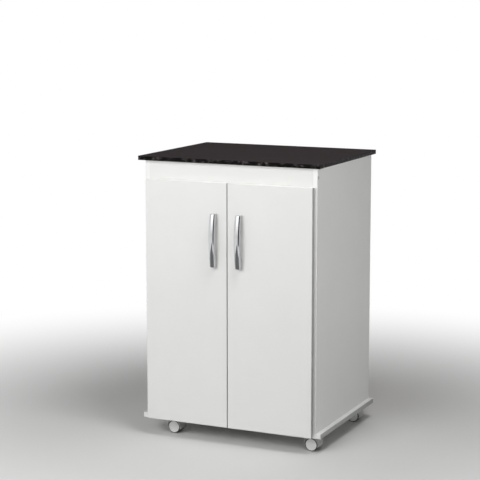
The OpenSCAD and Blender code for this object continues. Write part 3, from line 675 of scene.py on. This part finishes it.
def soften(node, rounding, making, build, slot):
    """Gives a node a piece in its own shape with its sharp edges rounded, named for how it is made."""
    bm = merged_copy(node)
    flat, sharp = math.radians(0.3), math.radians(30)
    bmesh.ops.dissolve_limit(bm, angle_limit=flat, verts=bm.verts, edges=bm.edges)
    edges = [e for e in bm.edges if e.is_manifold and e.calc_face_angle() > sharp]
    round_edges(bm, edges, rounding, segments=2)
    bmesh.ops.triangulate(bm, faces=bm.faces)
    piece(f"{node}_{making}", mesh_of(bm, node), [build], slot, node)


def keep_node(node, build):
    """Gives a node that keeps its CAD shape its own material."""
    obj = frame["nodes"][node]
    obj.data.materials.clear()
    obj.data.materials.append(finish(build))


def body_of(node):
    """The body that a node belongs to."""
    return next(body for body, members in frame["record"]["behaviour"]["bodies"].items() if node in members)


# ---- Boards ----

def bore_cutters(lo, hi, sizes):
    """Cutters for every fastener that goes into a board."""
    cutters = []
    # A fastener that reaches in less than this only touches the board
    least = 0.5 * MM
    for node in SCREW_NODES + ("joint_screws", "rail_dowels", "shelf_pins"):
        for pin in pins_of(node):
            a, b = corners_of([pin["start"], pin["start"] + pin["way"] * pin["length"]])
            if all(a[i] <= hi[i] - least and b[i] >= lo[i] + least for i in range(3)):
                cutters.append(bore_cutter(node, pin, sizes))
    return cutters


def bore_cutter(node, pin, sizes):
    """The bore of one fastener, in place, from a little outside the board."""
    play, rest, run_in = sizes.bore_play, sizes.bore_rest, 2 * MM
    thin, thick, span = pin["thin"] + play, pin["thick"] + play, pin["length"] + rest
    if node == "joint_screws":
        lo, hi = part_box("base_panel")
        board_t, head_h = hi.z - lo.z, HEAD_SHARE * pin["thick"]
        shank = SHANK_SHARE * pin["thick"] + play
        profile = [(thick, -run_in), (thick, 0.0), (shank, head_h), (shank, board_t), (thin, board_t),
                   (thin, span)]
    else:
        profile = [(thin, -rest if node == "rail_dowels" else -run_in), (thin, span)]
    return bore(profile, pin["start"], pin["way"])


def edge_bands(lo, hi, sides, sizes):
    """Bands along the sides of a box, butted in the order given and trimmed round, and the core's box."""
    core_lo, core_hi = lo.copy(), hi.copy()
    strips = []
    for axis, sign in sides:
        strip_lo, strip_hi = core_lo.copy(), core_hi.copy()
        if sign > 0:
            strip_lo[axis] = core_hi[axis] = core_hi[axis] - sizes.band_t
        else:
            strip_hi[axis] = core_lo[axis] = core_lo[axis] + sizes.band_t
        strips.append(box_mesh(strip_lo, strip_hi, sizes.band_round, 3, (axis, sign), slot=2))
    return strips, core_lo, core_hi


def board(node, sides, slot, sizes, cutters=()):
    """A board with its core, its bores and its edge bands."""
    lo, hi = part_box(node)
    strips, core_lo, core_hi = edge_bands(lo, hi, sides, sizes)
    thin_axis = min(range(3), key=lambda i: hi[i] - lo[i])
    core = box_mesh(core_lo, core_hi, sizes.seam)
    # The faced sides and their chamfers come before the sawn ones
    for polygon in core.polygons:
        polygon.material_index = 0 if abs(polygon.normal[thin_axis]) > 0.3 else 1
    bores = bore_cutters(core_lo, core_hi, sizes)
    if cutters or bores:
        core = cut_out(core, [*cutters, *bores] if cutters else [joined(bores, "bores")], node)
    piece(node.replace("panel", "board") + "_banded", joined([core] + strips, node),
          (white_melamine, raw_chipboard, white_band), slot, node)


class CART_OT_boards(bpy.types.Operator):
    """Make the carcass boards, the shelf and the back panel"""
    bl_idname = "cart.boards"
    bl_label = "Boards"

    def execute(self, context):
        sizes = context.scene.cart_boards
        back_lo, back_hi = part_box("back_panel")
        margin = 2 * MM
        for hand in HANDS:
            lo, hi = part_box(f"side_panel_{hand}")
            x_low, x_high = (back_lo.x, hi.x + margin) if hand == "left" else (lo.x - margin, back_hi.x)
            rebate_lo = Vector((x_low, back_lo.y, lo.z - margin))
            rebate = box_mesh(rebate_lo, Vector((x_high, hi.y + margin, hi.z + margin)), slot=1)
            cutters = [rebate] + pin_row_cutters(hand, sizes)
            board(f"side_panel_{hand}", [(Y, -1)], "white_board", sizes, cutters)
        for node, sides in (("base_panel", ALL_ROUND), ("front_rail", [(Z, -1)]), ("rear_rail", [(Z, -1)]),
                            ("shelf", [(Y, -1)])):
            board(node, sides, "white_board", sizes)
        keep_node("rail_dowels", turned_beech)
        back_panel(sizes)
        return {"FINISHED"}


def pin_row_cutters(hand, sizes):
    """The spare shelf pin holes above and below the pins in one side panel."""
    shank = solids_of("shelf_pins")[0]
    lo, hi = corners_of(shank)
    end = hi.x if hi.x > 0 else lo.x
    rim = [p.z for p in shank if abs(p.x - end) < LEVEL]
    radius, height = (max(rim) - min(rim)) / 2, (max(rim) + min(rim)) / 2
    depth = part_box("shelf_pins")[1].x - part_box("side_panel_right")[0].x
    lo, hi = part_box(f"side_panel_{hand}")
    inner_x, outward = (hi.x, -1) if hand == "left" else (lo.x, 1)
    cutters = []
    for pin in pins_of("shelf_pins"):
        if pin["start"].x * outward > 0:
            for row in (-1, 1):
                place = Vector((inner_x - outward * MM, pin["start"].y, height + row * sizes.pin_row_pitch))
                cutters.append(bore([(radius, 0.0), (radius, depth + MM)], place, axis_vector(X, outward)))
    return cutters


def back_panel(sizes):
    """The thin back with its row of nails, whose heads reach the plane of the boards' rear edges."""
    lo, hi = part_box("back_panel")
    sheet = box_mesh(lo, hi - axis_vector(Y, sizes.nail_rise), sizes.seam)
    piece("back_board_sheet", sheet, [painted_hardboard], "back_hardboard", "back_panel")
    from_edge = 3.5 * MM
    x_low, x_high = lo.x + from_edge, hi.x - from_edge
    z_low, z_high = lo.z + 3 * from_edge, hi.z - 2 * from_edge
    loop = bpy.data.meshes.new("nail_loop")
    points = [(x, hi.y, z) for x, z in ((x_low, z_low), (x_high, z_low), (x_high, z_high), (x_low, z_high))]
    loop.from_pydata(points, [(0, 1), (1, 2), (2, 3), (3, 0)], [])
    nails = run_nodes(loop, nail_tree(), {
        "Pitch": sizes.nail_pitch, "Head Radius": sizes.nail_r, "Head Rise": sizes.nail_rise,
        "Finish": finish(zinc_plate)}, "back_board_nails")
    piece("back_board_nails", nails, [zinc_plate], "zinc_steel")


# ---- Geometry Nodes ----

def new_tree(name, inputs):
    """An empty geometry tree with named inputs, and its input and output nodes."""
    tree = bpy.data.node_groups.new(name, "GeometryNodeTree")
    tree.interface.new_socket("Geometry", in_out="INPUT", socket_type="NodeSocketGeometry")
    for label, kind, default in inputs:
        socket = tree.interface.new_socket(label, in_out="INPUT", socket_type=kind)
        if default is not None:
            socket.default_value = default
    tree.interface.new_socket("Geometry", in_out="OUTPUT", socket_type="NodeSocketGeometry")
    return tree, add(tree, "NodeGroupInput"), add(tree, "NodeGroupOutput")


def run_nodes(mesh, tree, values, name):
    """The plain mesh that a geometry tree makes from a mesh and named values."""
    def modify(obj):
        modifier = obj.modifiers.new(name, "NODES")
        modifier.node_group = tree
        for socket in tree.interface.items_tree:
            if socket.in_out == "INPUT" and socket.name in values:
                modifier[socket.identifier] = values[socket.name]

    return evaluated(mesh, modify, name)


def end_tree(tree, start, end, instances):
    """Ends a tree with its instances made real, in the finish that is its input."""
    real = add(tree, "GeometryNodeRealizeInstances", {"Geometry": instances})
    add(tree, "GeometryNodeSetMaterial",
        {"Geometry": real.outputs["Geometry"], "Material": start.outputs["Finish"]},
        {"Geometry": end.inputs["Geometry"]})
    return tree


def nail_tree():
    """Nail heads at even steps along a loop of edges, facing +Y."""
    tree, start, end = new_tree("nail_row", [
        ("Pitch", "NodeSocketFloat", 0.08), ("Head Radius", "NodeSocketFloat", 0.002),
        ("Head Rise", "NodeSocketFloat", 0.0004), ("Finish", "NodeSocketMaterial", None)])
    path = add(tree, "GeometryNodeMeshToCurve", {"Mesh": start.outputs["Geometry"]})
    steps = add(tree, "GeometryNodeResampleCurve",
                {"Curve": path.outputs["Curve"], "Length": start.outputs["Pitch"]}, mode="LENGTH")
    head_h = add(tree, "ShaderNodeMath", {1: 2.0, 0: start.outputs["Head Rise"]}, operation="MULTIPLY")
    top_r = add(tree, "ShaderNodeMath", {1: 0.8, 0: start.outputs["Head Radius"]}, operation="MULTIPLY")
    head = add(tree, "GeometryNodeMeshCone",
               {"Vertices": 16, "Fill Segments": 1, "Side Segments": 1,
                "Radius Bottom": start.outputs["Head Radius"], "Radius Top": top_r.outputs[0],
                "Depth": head_h.outputs[0]})
    drop = add(tree, "ShaderNodeMath", {1: -1.0, 0: head_h.outputs[0]}, operation="MULTIPLY")
    down = add(tree, "ShaderNodeCombineXYZ", {"Z": drop.outputs[0]})
    seated = add(tree, "GeometryNodeTransform",
                 {"Geometry": head.outputs["Mesh"], "Translation": down.outputs[0]})
    turned = add(tree, "GeometryNodeTransform",
                 {"Rotation": (-math.pi / 2, 0.0, 0.0), "Geometry": seated.outputs["Geometry"]})
    copies = add(tree, "GeometryNodeInstanceOnPoints",
                 {"Points": steps.outputs["Curve"], "Instance": turned.outputs["Geometry"]})
    return end_tree(tree, start, end, copies.outputs["Instances"])


def screw_tree():
    """One screw on each point, its axis along the point's way and its recess turned at random."""
    tree, start, end = new_tree("screw_set", [
        ("Screw", "NodeSocketObject", None), ("Seed", "NodeSocketInt", SCREW_SEED),
        ("Finish", "NodeSocketMaterial", None)])
    source = add(tree, "GeometryNodeObjectInfo", {"Object": start.outputs["Screw"]})
    way = add(tree, "GeometryNodeInputNamedAttribute", {"Name": "way"}, data_type="FLOAT_VECTOR")
    aim = add(tree, "FunctionNodeAlignRotationToVector", {"Vector": way.outputs[0]}, axis="Z")
    copies = add(tree, "GeometryNodeInstanceOnPoints",
                 {"Points": start.outputs["Geometry"], "Instance": source.outputs["Geometry"],
                  "Rotation": aim.outputs["Rotation"]})
    angle = add(tree, "FunctionNodeRandomValue",
                {"Min": 0.0, "Max": math.pi / 2, "Seed": start.outputs["Seed"]}, data_type="FLOAT")
    turn = add(tree, "ShaderNodeCombineXYZ", {"Z": angle.outputs["Value"]})
    turned = add(tree, "GeometryNodeRotateInstances",
                 {"Local Space": True, "Instances": copies.outputs["Instances"], "Rotation": turn.outputs[0]})
    return end_tree(tree, start, end, turned.outputs["Instances"])


# ---- Top ----

class CART_OT_top(bpy.types.Operator):
    """Make the laminate top with its edge bands and its upper sheet"""
    bl_idname = "cart.top"
    bl_label = "Top"

    def execute(self, context):
        boards, top = context.scene.cart_boards, context.scene.cart_top
        lo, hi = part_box("top_panel")
        strips, core_lo, core_hi = edge_bands(lo, hi - axis_vector(Z, top.sheet_t), ALL_ROUND, boards)
        core = box_mesh(core_lo, core_hi, boards.seam, slot=1)
        core = cut_out(core, [joined(bore_cutters(core_lo, core_hi, boards), "bores")], "top_core")
        sheet = box_mesh(Vector((lo.x, lo.y, core_hi.z)), hi, top.sheet_round, 3, (Z, 1))
        piece("top_board_laminated", joined([core, sheet] + strips, "top"),
              (stone_laminate, stone_edge, stone_edge), "top_laminate", "top_panel")
        return {"FINISHED"}


# ---- Doors and pulls ----

class CART_OT_doors(bpy.types.Operator):
    """Make the two doors with the pockets of their hinge cups"""
    bl_idname = "cart.doors"
    bl_label = "Doors"

    def execute(self, context):
        sizes = context.scene.cart_boards
        for hand in HANDS:
            cutters = [cup_cutter(points, sizes) for points in solids_of(f"hinge_cups_{hand}")]
            board(f"door_{hand}", [(X, -1), (X, 1), (Z, -1), (Z, 1)], "door_board", sizes, cutters)
        return {"FINISHED"}


def cup_cutter(points, sizes):
    """The pocket of one hinge cup, from the points on the cup's floor."""
    lo, hi = corners_of(points)
    low, high = corners_of([p for p in points if p.y < lo.y + LEVEL])
    middle = (low + high) / 2
    radius = (high.z - low.z) / 2 + sizes.bore_play
    depth = hi.y - lo.y + sizes.bore_play
    place = Vector((middle.x, lo.y - sizes.bore_play, middle.z))
    return bore([(radius, 0.0), (radius, depth + 2 * MM)], place, axis_vector(Y), segments=64)


class CART_OT_pulls(bpy.types.Operator):
    """Make the two arched pulls"""
    bl_idname = "cart.pulls"
    bl_label = "Pulls"

    def execute(self, context):
        for hand in HANDS:
            node = f"pull_{hand}"
            mesh = pull_mesh(node, context.scene.cart_pulls)
            piece(f"{node}_chromed", mesh, [chrome_plate], "chrome_pull", node, sharp_degrees=50.0)
        return {"FINISHED"}


def pull_mesh(node, sizes):
    """A strap lofted along Z: an arc in front, a tighter arc behind, and slanted shoulders on both sides."""
    lo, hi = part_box(node)
    half_l, half_w, reach = (hi.z - lo.z) / 2, (hi.x - lo.x) / 2, hi.y - lo.y
    rise = reach - sizes.end_reach
    outer_r = (half_l ** 2 + rise ** 2) / (2 * rise)
    gap_half, gap_rise = half_l - sizes.foot_l, reach - sizes.mid_t
    inner_r = (gap_half ** 2 + gap_rise ** 2) / (2 * gap_rise)
    arris, steps = sizes.arris, 48
    heights = [half_l * (i / steps * 2 - 1) for i in range(steps + 1)] + [-gap_half, gap_half]
    for angle in (30, 60, 90):
        from_middle = half_l - arris * (1 - math.cos(math.radians(angle)))
        heights += [-from_middle, from_middle]
    middle = Vector(((lo.x + hi.x) / 2, hi.y, (lo.z + hi.z) / 2))
    bm = bmesh.new()
    rings = []
    for z in sorted(set(round(height, 7) for height in heights)):
        front = reach - outer_r + math.sqrt(outer_r ** 2 - z ** 2)
        behind, inset = 0.0, 0.0
        if abs(z) < gap_half:
            behind = max(0.0, gap_rise - inner_r + math.sqrt(inner_r ** 2 - z ** 2))
        from_end = half_l - abs(z)
        if from_end < arris:
            inset = arris - math.sqrt(max(0.0, arris ** 2 - (arris - from_end) ** 2))
        section = pull_section(half_w - inset, behind, front - inset, arris)
        rings.append([bm.verts.new(middle + Vector((x, -y, z))) for x, y in section])
    skin(bm, rings)
    return mesh_of(bm, node)


def pull_section(half_w, behind, front, arris):
    """The strap's outline across its length: a flat back, low sides, slanted shoulders, a flattish front."""
    shoulder = [(0.0, 0.0)]
    turn = 0.0
    for end_turn, run in SECTION_RUNS:
        for i in range(SECTION_STEPS):
            angle = math.radians(turn + (end_turn - turn) * (i + 0.5) / SECTION_STEPS)
            x, y = shoulder[-1]
            shoulder.append((x + run * math.cos(angle), y - run * math.sin(angle)))
        turn = end_turn
    stretch = half_w / shoulder[-1][0]
    half = [(half_w - arris + arris * sine, behind + arris - arris * cosine) for cosine, sine in quarter(4)]
    half += [(x * stretch, front + y * stretch) for x, y in reversed(shoulder)]
    return half + [(-x, y) for x, y in half[-2::-1]]


# ---- Hinges, pins and screws ----

class CART_OT_hinges(bpy.types.Operator):
    """Make the hinge plates, arms and cups, the shelf pins and the corner blocks"""
    bl_idname = "cart.hinges"
    bl_label = "Hinges and fittings"

    def execute(self, context):
        sizes = context.scene.cart_hardware
        for node in ("hinge_plates", "hinge_arms", "hinge_cups_left", "hinge_cups_right"):
            soften(node, sizes.arris, "pressed", nickel_plate, "hinge_steel")
        soften("shelf_pins", sizes.arris, "turned", nickel_plate, "zinc_steel")
        soften("corner_blocks", sizes.block_arris, "moulded", moulded_block, "white_plastic")
        for hand in HANDS:
            keep_node(f"hinge_pins_{hand}", nickel_plate)
        return {"FINISHED"}


class CART_OT_screws(bpy.types.Operator):
    """Make every set of screws"""
    bl_idname = "cart.screws"
    bl_label = "Screws"

    def execute(self, context):
        sizes = context.scene.cart_hardware
        tree = screw_tree()
        for node in SCREW_NODES:
            pins = pins_of(node)
            template = linked("screw", screw_mesh(pins[0], sizes))
            points = bpy.data.meshes.new("screw_points")
            points.from_pydata([pin["start"] for pin in pins], [], [])
            ways = points.attributes.new("way", "FLOAT_VECTOR", "POINT")
            for i, pin in enumerate(pins):
                ways.data[i].vector = pin["way"]
            values = {"Screw": template, "Seed": SCREW_SEED, "Finish": finish(zinc_plate)}
            mesh = run_nodes(points, tree, values, node)
            bpy.data.objects.remove(template)
            slot = "caster_steel" if node == "caster_screws" else "zinc_steel"
            piece(f"{node}_cross", mesh, [zinc_plate], slot, node)
        keep_node("joint_screws", zinc_plate)
        return {"FINISHED"}


def screw_mesh(pin, sizes):
    """A pan-head screw along +Z from the top of its head, with a cross recess and a pointed end."""
    head_r, shank_r, span = pin["thick"], pin["thin"], pin["length"]
    head_h, flat, dome = 2.0 * MM, 0.35, 0.75
    profile = [(0.0, 0.0)] + [(head_r * (flat + (1 - flat) * sine), head_h * dome * (1 - cosine))
                              for cosine, sine in quarter(5)[1:]]
    profile += [(head_r, head_h), (shank_r, head_h), (shank_r, span - 2 * shank_r), (0.0, span)]
    blades = []
    reach, half_w = head_r * 0.55, sizes.recess_w / 2
    for x, y in ((reach, half_w), (half_w, reach)):
        blades.append(box_mesh(Vector((-x, -y, -MM)), Vector((x, y, sizes.recess_depth)), slot=1))
    return cut_out(revolved(profile, segments=20), blades, "screw")


# ---- Casters ----

class CART_OT_casters(bpy.types.Operator):
    """Make the plates, hoods, wheels and tyres of the four casters"""
    bl_idname = "cart.casters"
    bl_label = "Casters"

    def execute(self, context):
        sizes = context.scene.cart_casters
        for corner in CORNERS:
            soften(f"{corner}_caster_plate", sizes.plate_arris, "pressed", zinc_plate, "caster_steel")
            soften(f"{corner}_caster_hood", sizes.arris, "moulded", moulded_hood, "hood_plastic")
            keep_node(f"{corner}_caster_axle", zinc_plate)
            for end in ENDS:
                wheel, tyre = f"{corner}_wheel_{end}", f"{corner}_tyre_{end}"
                soften(wheel, sizes.arris, "moulded", moulded_nylon, "wheel_plastic")
                piece(f"{tyre}_rubber", tyre_mesh(tyre, wheel, sizes), [soft_rubber], "tyre_rubber", tyre)
        return {"FINISHED"}


def tyre_mesh(node, wheel, sizes):
    """A tyre ring turned round Y, flat on its rim and crowned at its tread."""
    lo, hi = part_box(node)
    wheel_lo, wheel_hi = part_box(wheel)
    outer_r, inner_r, width = (hi.z - lo.z) / 2, (wheel_hi.z - wheel_lo.z) / 2, hi.y - lo.y
    shoulder, crown = sizes.shoulder, 0.25 * MM
    section = [(inner_r, 0.0)]
    for cosine, sine in quarter(6):
        section.append((outer_r - crown - shoulder + shoulder * sine, shoulder - shoulder * cosine))
    section.append((outer_r, width / 2))
    section += [(radius, width - height) for radius, height in section[-2::-1]]
    bm = bmesh.new()
    rings = []
    for radius, height in section:
        rings.append([bm.verts.new((radius * c, height - width / 2, radius * s)) for c, s in turns(96)])
    skin(bm, rings, loop=True)
    bmesh.ops.translate(bm, verts=bm.verts, vec=(lo + hi) / 2)
    return mesh_of(bm, node)


# ---- Stage ----

class CART_OT_stage(bpy.types.Operator):
    """Make the camera, the lights, the world and the floor"""
    bl_idname = "cart.stage"
    bl_label = "Stage"

    def execute(self, context):
        sizes = context.scene.cart_stage
        context.scene.view_settings.view_transform = "Standard"
        camera = bpy.data.cameras.new("camera")
        camera.sensor_width = 36.0
        camera.lens = sizes.lens
        camera.shift_x, camera.shift_y = sizes.shift
        camera.clip_end = 100.0
        view = linked("camera", camera)
        view.location = sizes.camera_place
        view.rotation_euler = (math.pi / 2 - sizes.camera_pitch, 0.0, sizes.camera_yaw)
        context.scene.camera = view
        for name, place, target, size, passes in LAMPS:
            area_light(name, place, target, size, getattr(sizes, name), passes)
        build_world(sizes)
        build_floor(sizes)
        # Painted reflections: cards that glow only in glossy surfaces and light nothing
        for name, start, end, (low, high), levels in CARDS:
            card(name, [(*start, low), (*end, low), (*end, high), (*start, high)], levels)
        card("flag_floor", [(x, y, FLOOR_CARD_HEIGHT) for x, y in FLOOR_CARD], (FLOOR_CARD_LEVEL,) * 2)
        return {"FINISHED"}


def area_light(name, place, target, size, watts, passes):
    """A soft rectangular lamp aimed at a place; the piece that its light passes casts no shadow from it."""
    lamp = bpy.data.lights.new(name, "AREA")
    lamp.shape = "RECTANGLE"
    lamp.size, lamp.size_y = size
    lamp.energy = watts
    obj = linked(name, lamp)
    obj.location = place
    obj.rotation_euler = (Vector(target) - Vector(place)).to_track_quat("-Z", "Y").to_euler()
    obj.visible_glossy = False
    if passes:
        passed = bpy.data.collections.new(f"{name}_passes")
        passed.objects.link(bpy.data.objects[passes])
        obj.light_linking.blocker_collection = passed
        passed.collection_objects[0].light_linking.link_state = "EXCLUDE"


def background_rays(tree):
    """One for camera, glossy and transmission rays, which see the plain white background."""
    rays = add(tree, "ShaderNodeLightPath")
    some = add(tree, "ShaderNodeMath", {0: rays.outputs["Is Camera Ray"], 1: rays.outputs["Is Glossy Ray"]},
               operation="MAXIMUM")
    every = add(tree, "ShaderNodeMath", {0: some.outputs[0], 1: rays.outputs["Is Transmission Ray"]},
                operation="MAXIMUM")
    return every.outputs[0]


def build_world(sizes):
    """A plain white world that lights at a lower level than it shows."""
    world = bpy.data.worlds.new("studio")
    bpy.context.scene.world = world
    world.use_nodes = True
    tree = world.node_tree
    background = tree.nodes["Background"]
    background.inputs["Color"].default_value = WHITE
    add(tree, "ShaderNodeMapRange", {"To Min": sizes.ambient, "To Max": 1.0, "Value": background_rays(tree)},
        {0: background.inputs["Strength"]})


def build_floor(sizes):
    """A round floor that takes the cart's shadow and fades to the white background."""
    bm = bmesh.new()
    bmesh.ops.create_circle(bm, cap_ends=True, radius=FLOOR_RADIUS, segments=96)
    floor = linked("floor", mesh_of(bm, "floor"))
    material, tree, shader = surface("pale_floor", roughness=0.8)
    shader.inputs["Base Color"].default_value = sizes.floor
    shader.inputs["Specular IOR Level"].default_value = 0.2
    own = add(tree, "ShaderNodeTexCoord")
    away = add(tree, "ShaderNodeVectorMath", {0: own.outputs["Object"]}, operation="LENGTH")
    fade = add(tree, "ShaderNodeMapRange",
               {"From Min": FLOOR_FADE[0], "From Max": FLOOR_FADE[1], "Value": away.outputs["Value"]},
               interpolation_type="SMOOTHSTEP")
    seen = add(tree, "ShaderNodeMath", {0: fade.outputs[0], 1: background_rays(tree)}, operation="MULTIPLY")
    white = add(tree, "ShaderNodeEmission", {"Color": WHITE, "Strength": 1.0})
    add(tree, "ShaderNodeMixShader",
        {0: seen.outputs[0], 1: shader.outputs["BSDF"], 2: white.outputs["Emission"]},
        {"Shader": tree.nodes["Material Output"].inputs["Surface"]})
    floor.data.materials.append(material)


def card(name, corners, levels):
    """A flag or softbox that only glossy surfaces show: a painted reflection that glows but lights nothing,
    with its level at its lower and upper edge.
    """
    mesh = bpy.data.meshes.new(name)
    mesh.from_pydata(corners, [], [range(len(corners))])
    obj = linked(name, mesh)
    material, tree = surface(f"{name}_card", roughness=1.0)[:2]
    own = add(tree, "ShaderNodeTexCoord")
    height = add(tree, "ShaderNodeSeparateXYZ", {0: own.outputs["Generated"]})
    level = add(tree, "ShaderNodeMapRange",
                {"To Min": levels[0], "To Max": levels[1], "Value": height.outputs["Z"]})
    add(tree, "ShaderNodeEmission", {"Color": WHITE, "Strength": level.outputs[0]},
        {"Emission": tree.nodes["Material Output"].inputs["Surface"]})
    mesh.materials.append(material)
    obj.visible_camera = obj.visible_diffuse = obj.visible_shadow = obj.visible_transmission = False


OPERATORS = (CART_OT_boards, CART_OT_top, CART_OT_doors, CART_OT_pulls, CART_OT_hinges, CART_OT_screws,
             CART_OT_casters, CART_OT_stage)


class CART_PT_dressing(bpy.types.Panel):
    """The steps that dress the cart"""
    bl_idname = "CART_PT_dressing"
    bl_label = "Microwave cart"
    bl_space_type = "VIEW_3D"
    bl_region_type = "UI"
    bl_category = "Cart"

    def draw(self, context):
        for operator in OPERATORS:
            self.layout.operator(operator.bl_idname)


def register():
    for group in SETTINGS.values():
        bpy.utils.register_class(group)
    for name, group in SETTINGS.items():
        setattr(bpy.types.Scene, name, bpy.props.PointerProperty(type=group))
    for operator in OPERATORS:
        bpy.utils.register_class(operator)
    bpy.utils.register_class(CART_PT_dressing)


def unregister():
    bpy.utils.unregister_class(CART_PT_dressing)
    for operator in reversed(OPERATORS):
        bpy.utils.unregister_class(operator)
    for name, group in reversed(SETTINGS.items()):
        delattr(bpy.types.Scene, name)
        bpy.utils.unregister_class(group)


def main():
    """Runs each step in order."""
    register()
    for operator in OPERATORS:
        group, step = operator.bl_idname.split(".")
        getattr(getattr(bpy.ops, group), step)()


if __name__ == "__main__":
    main()
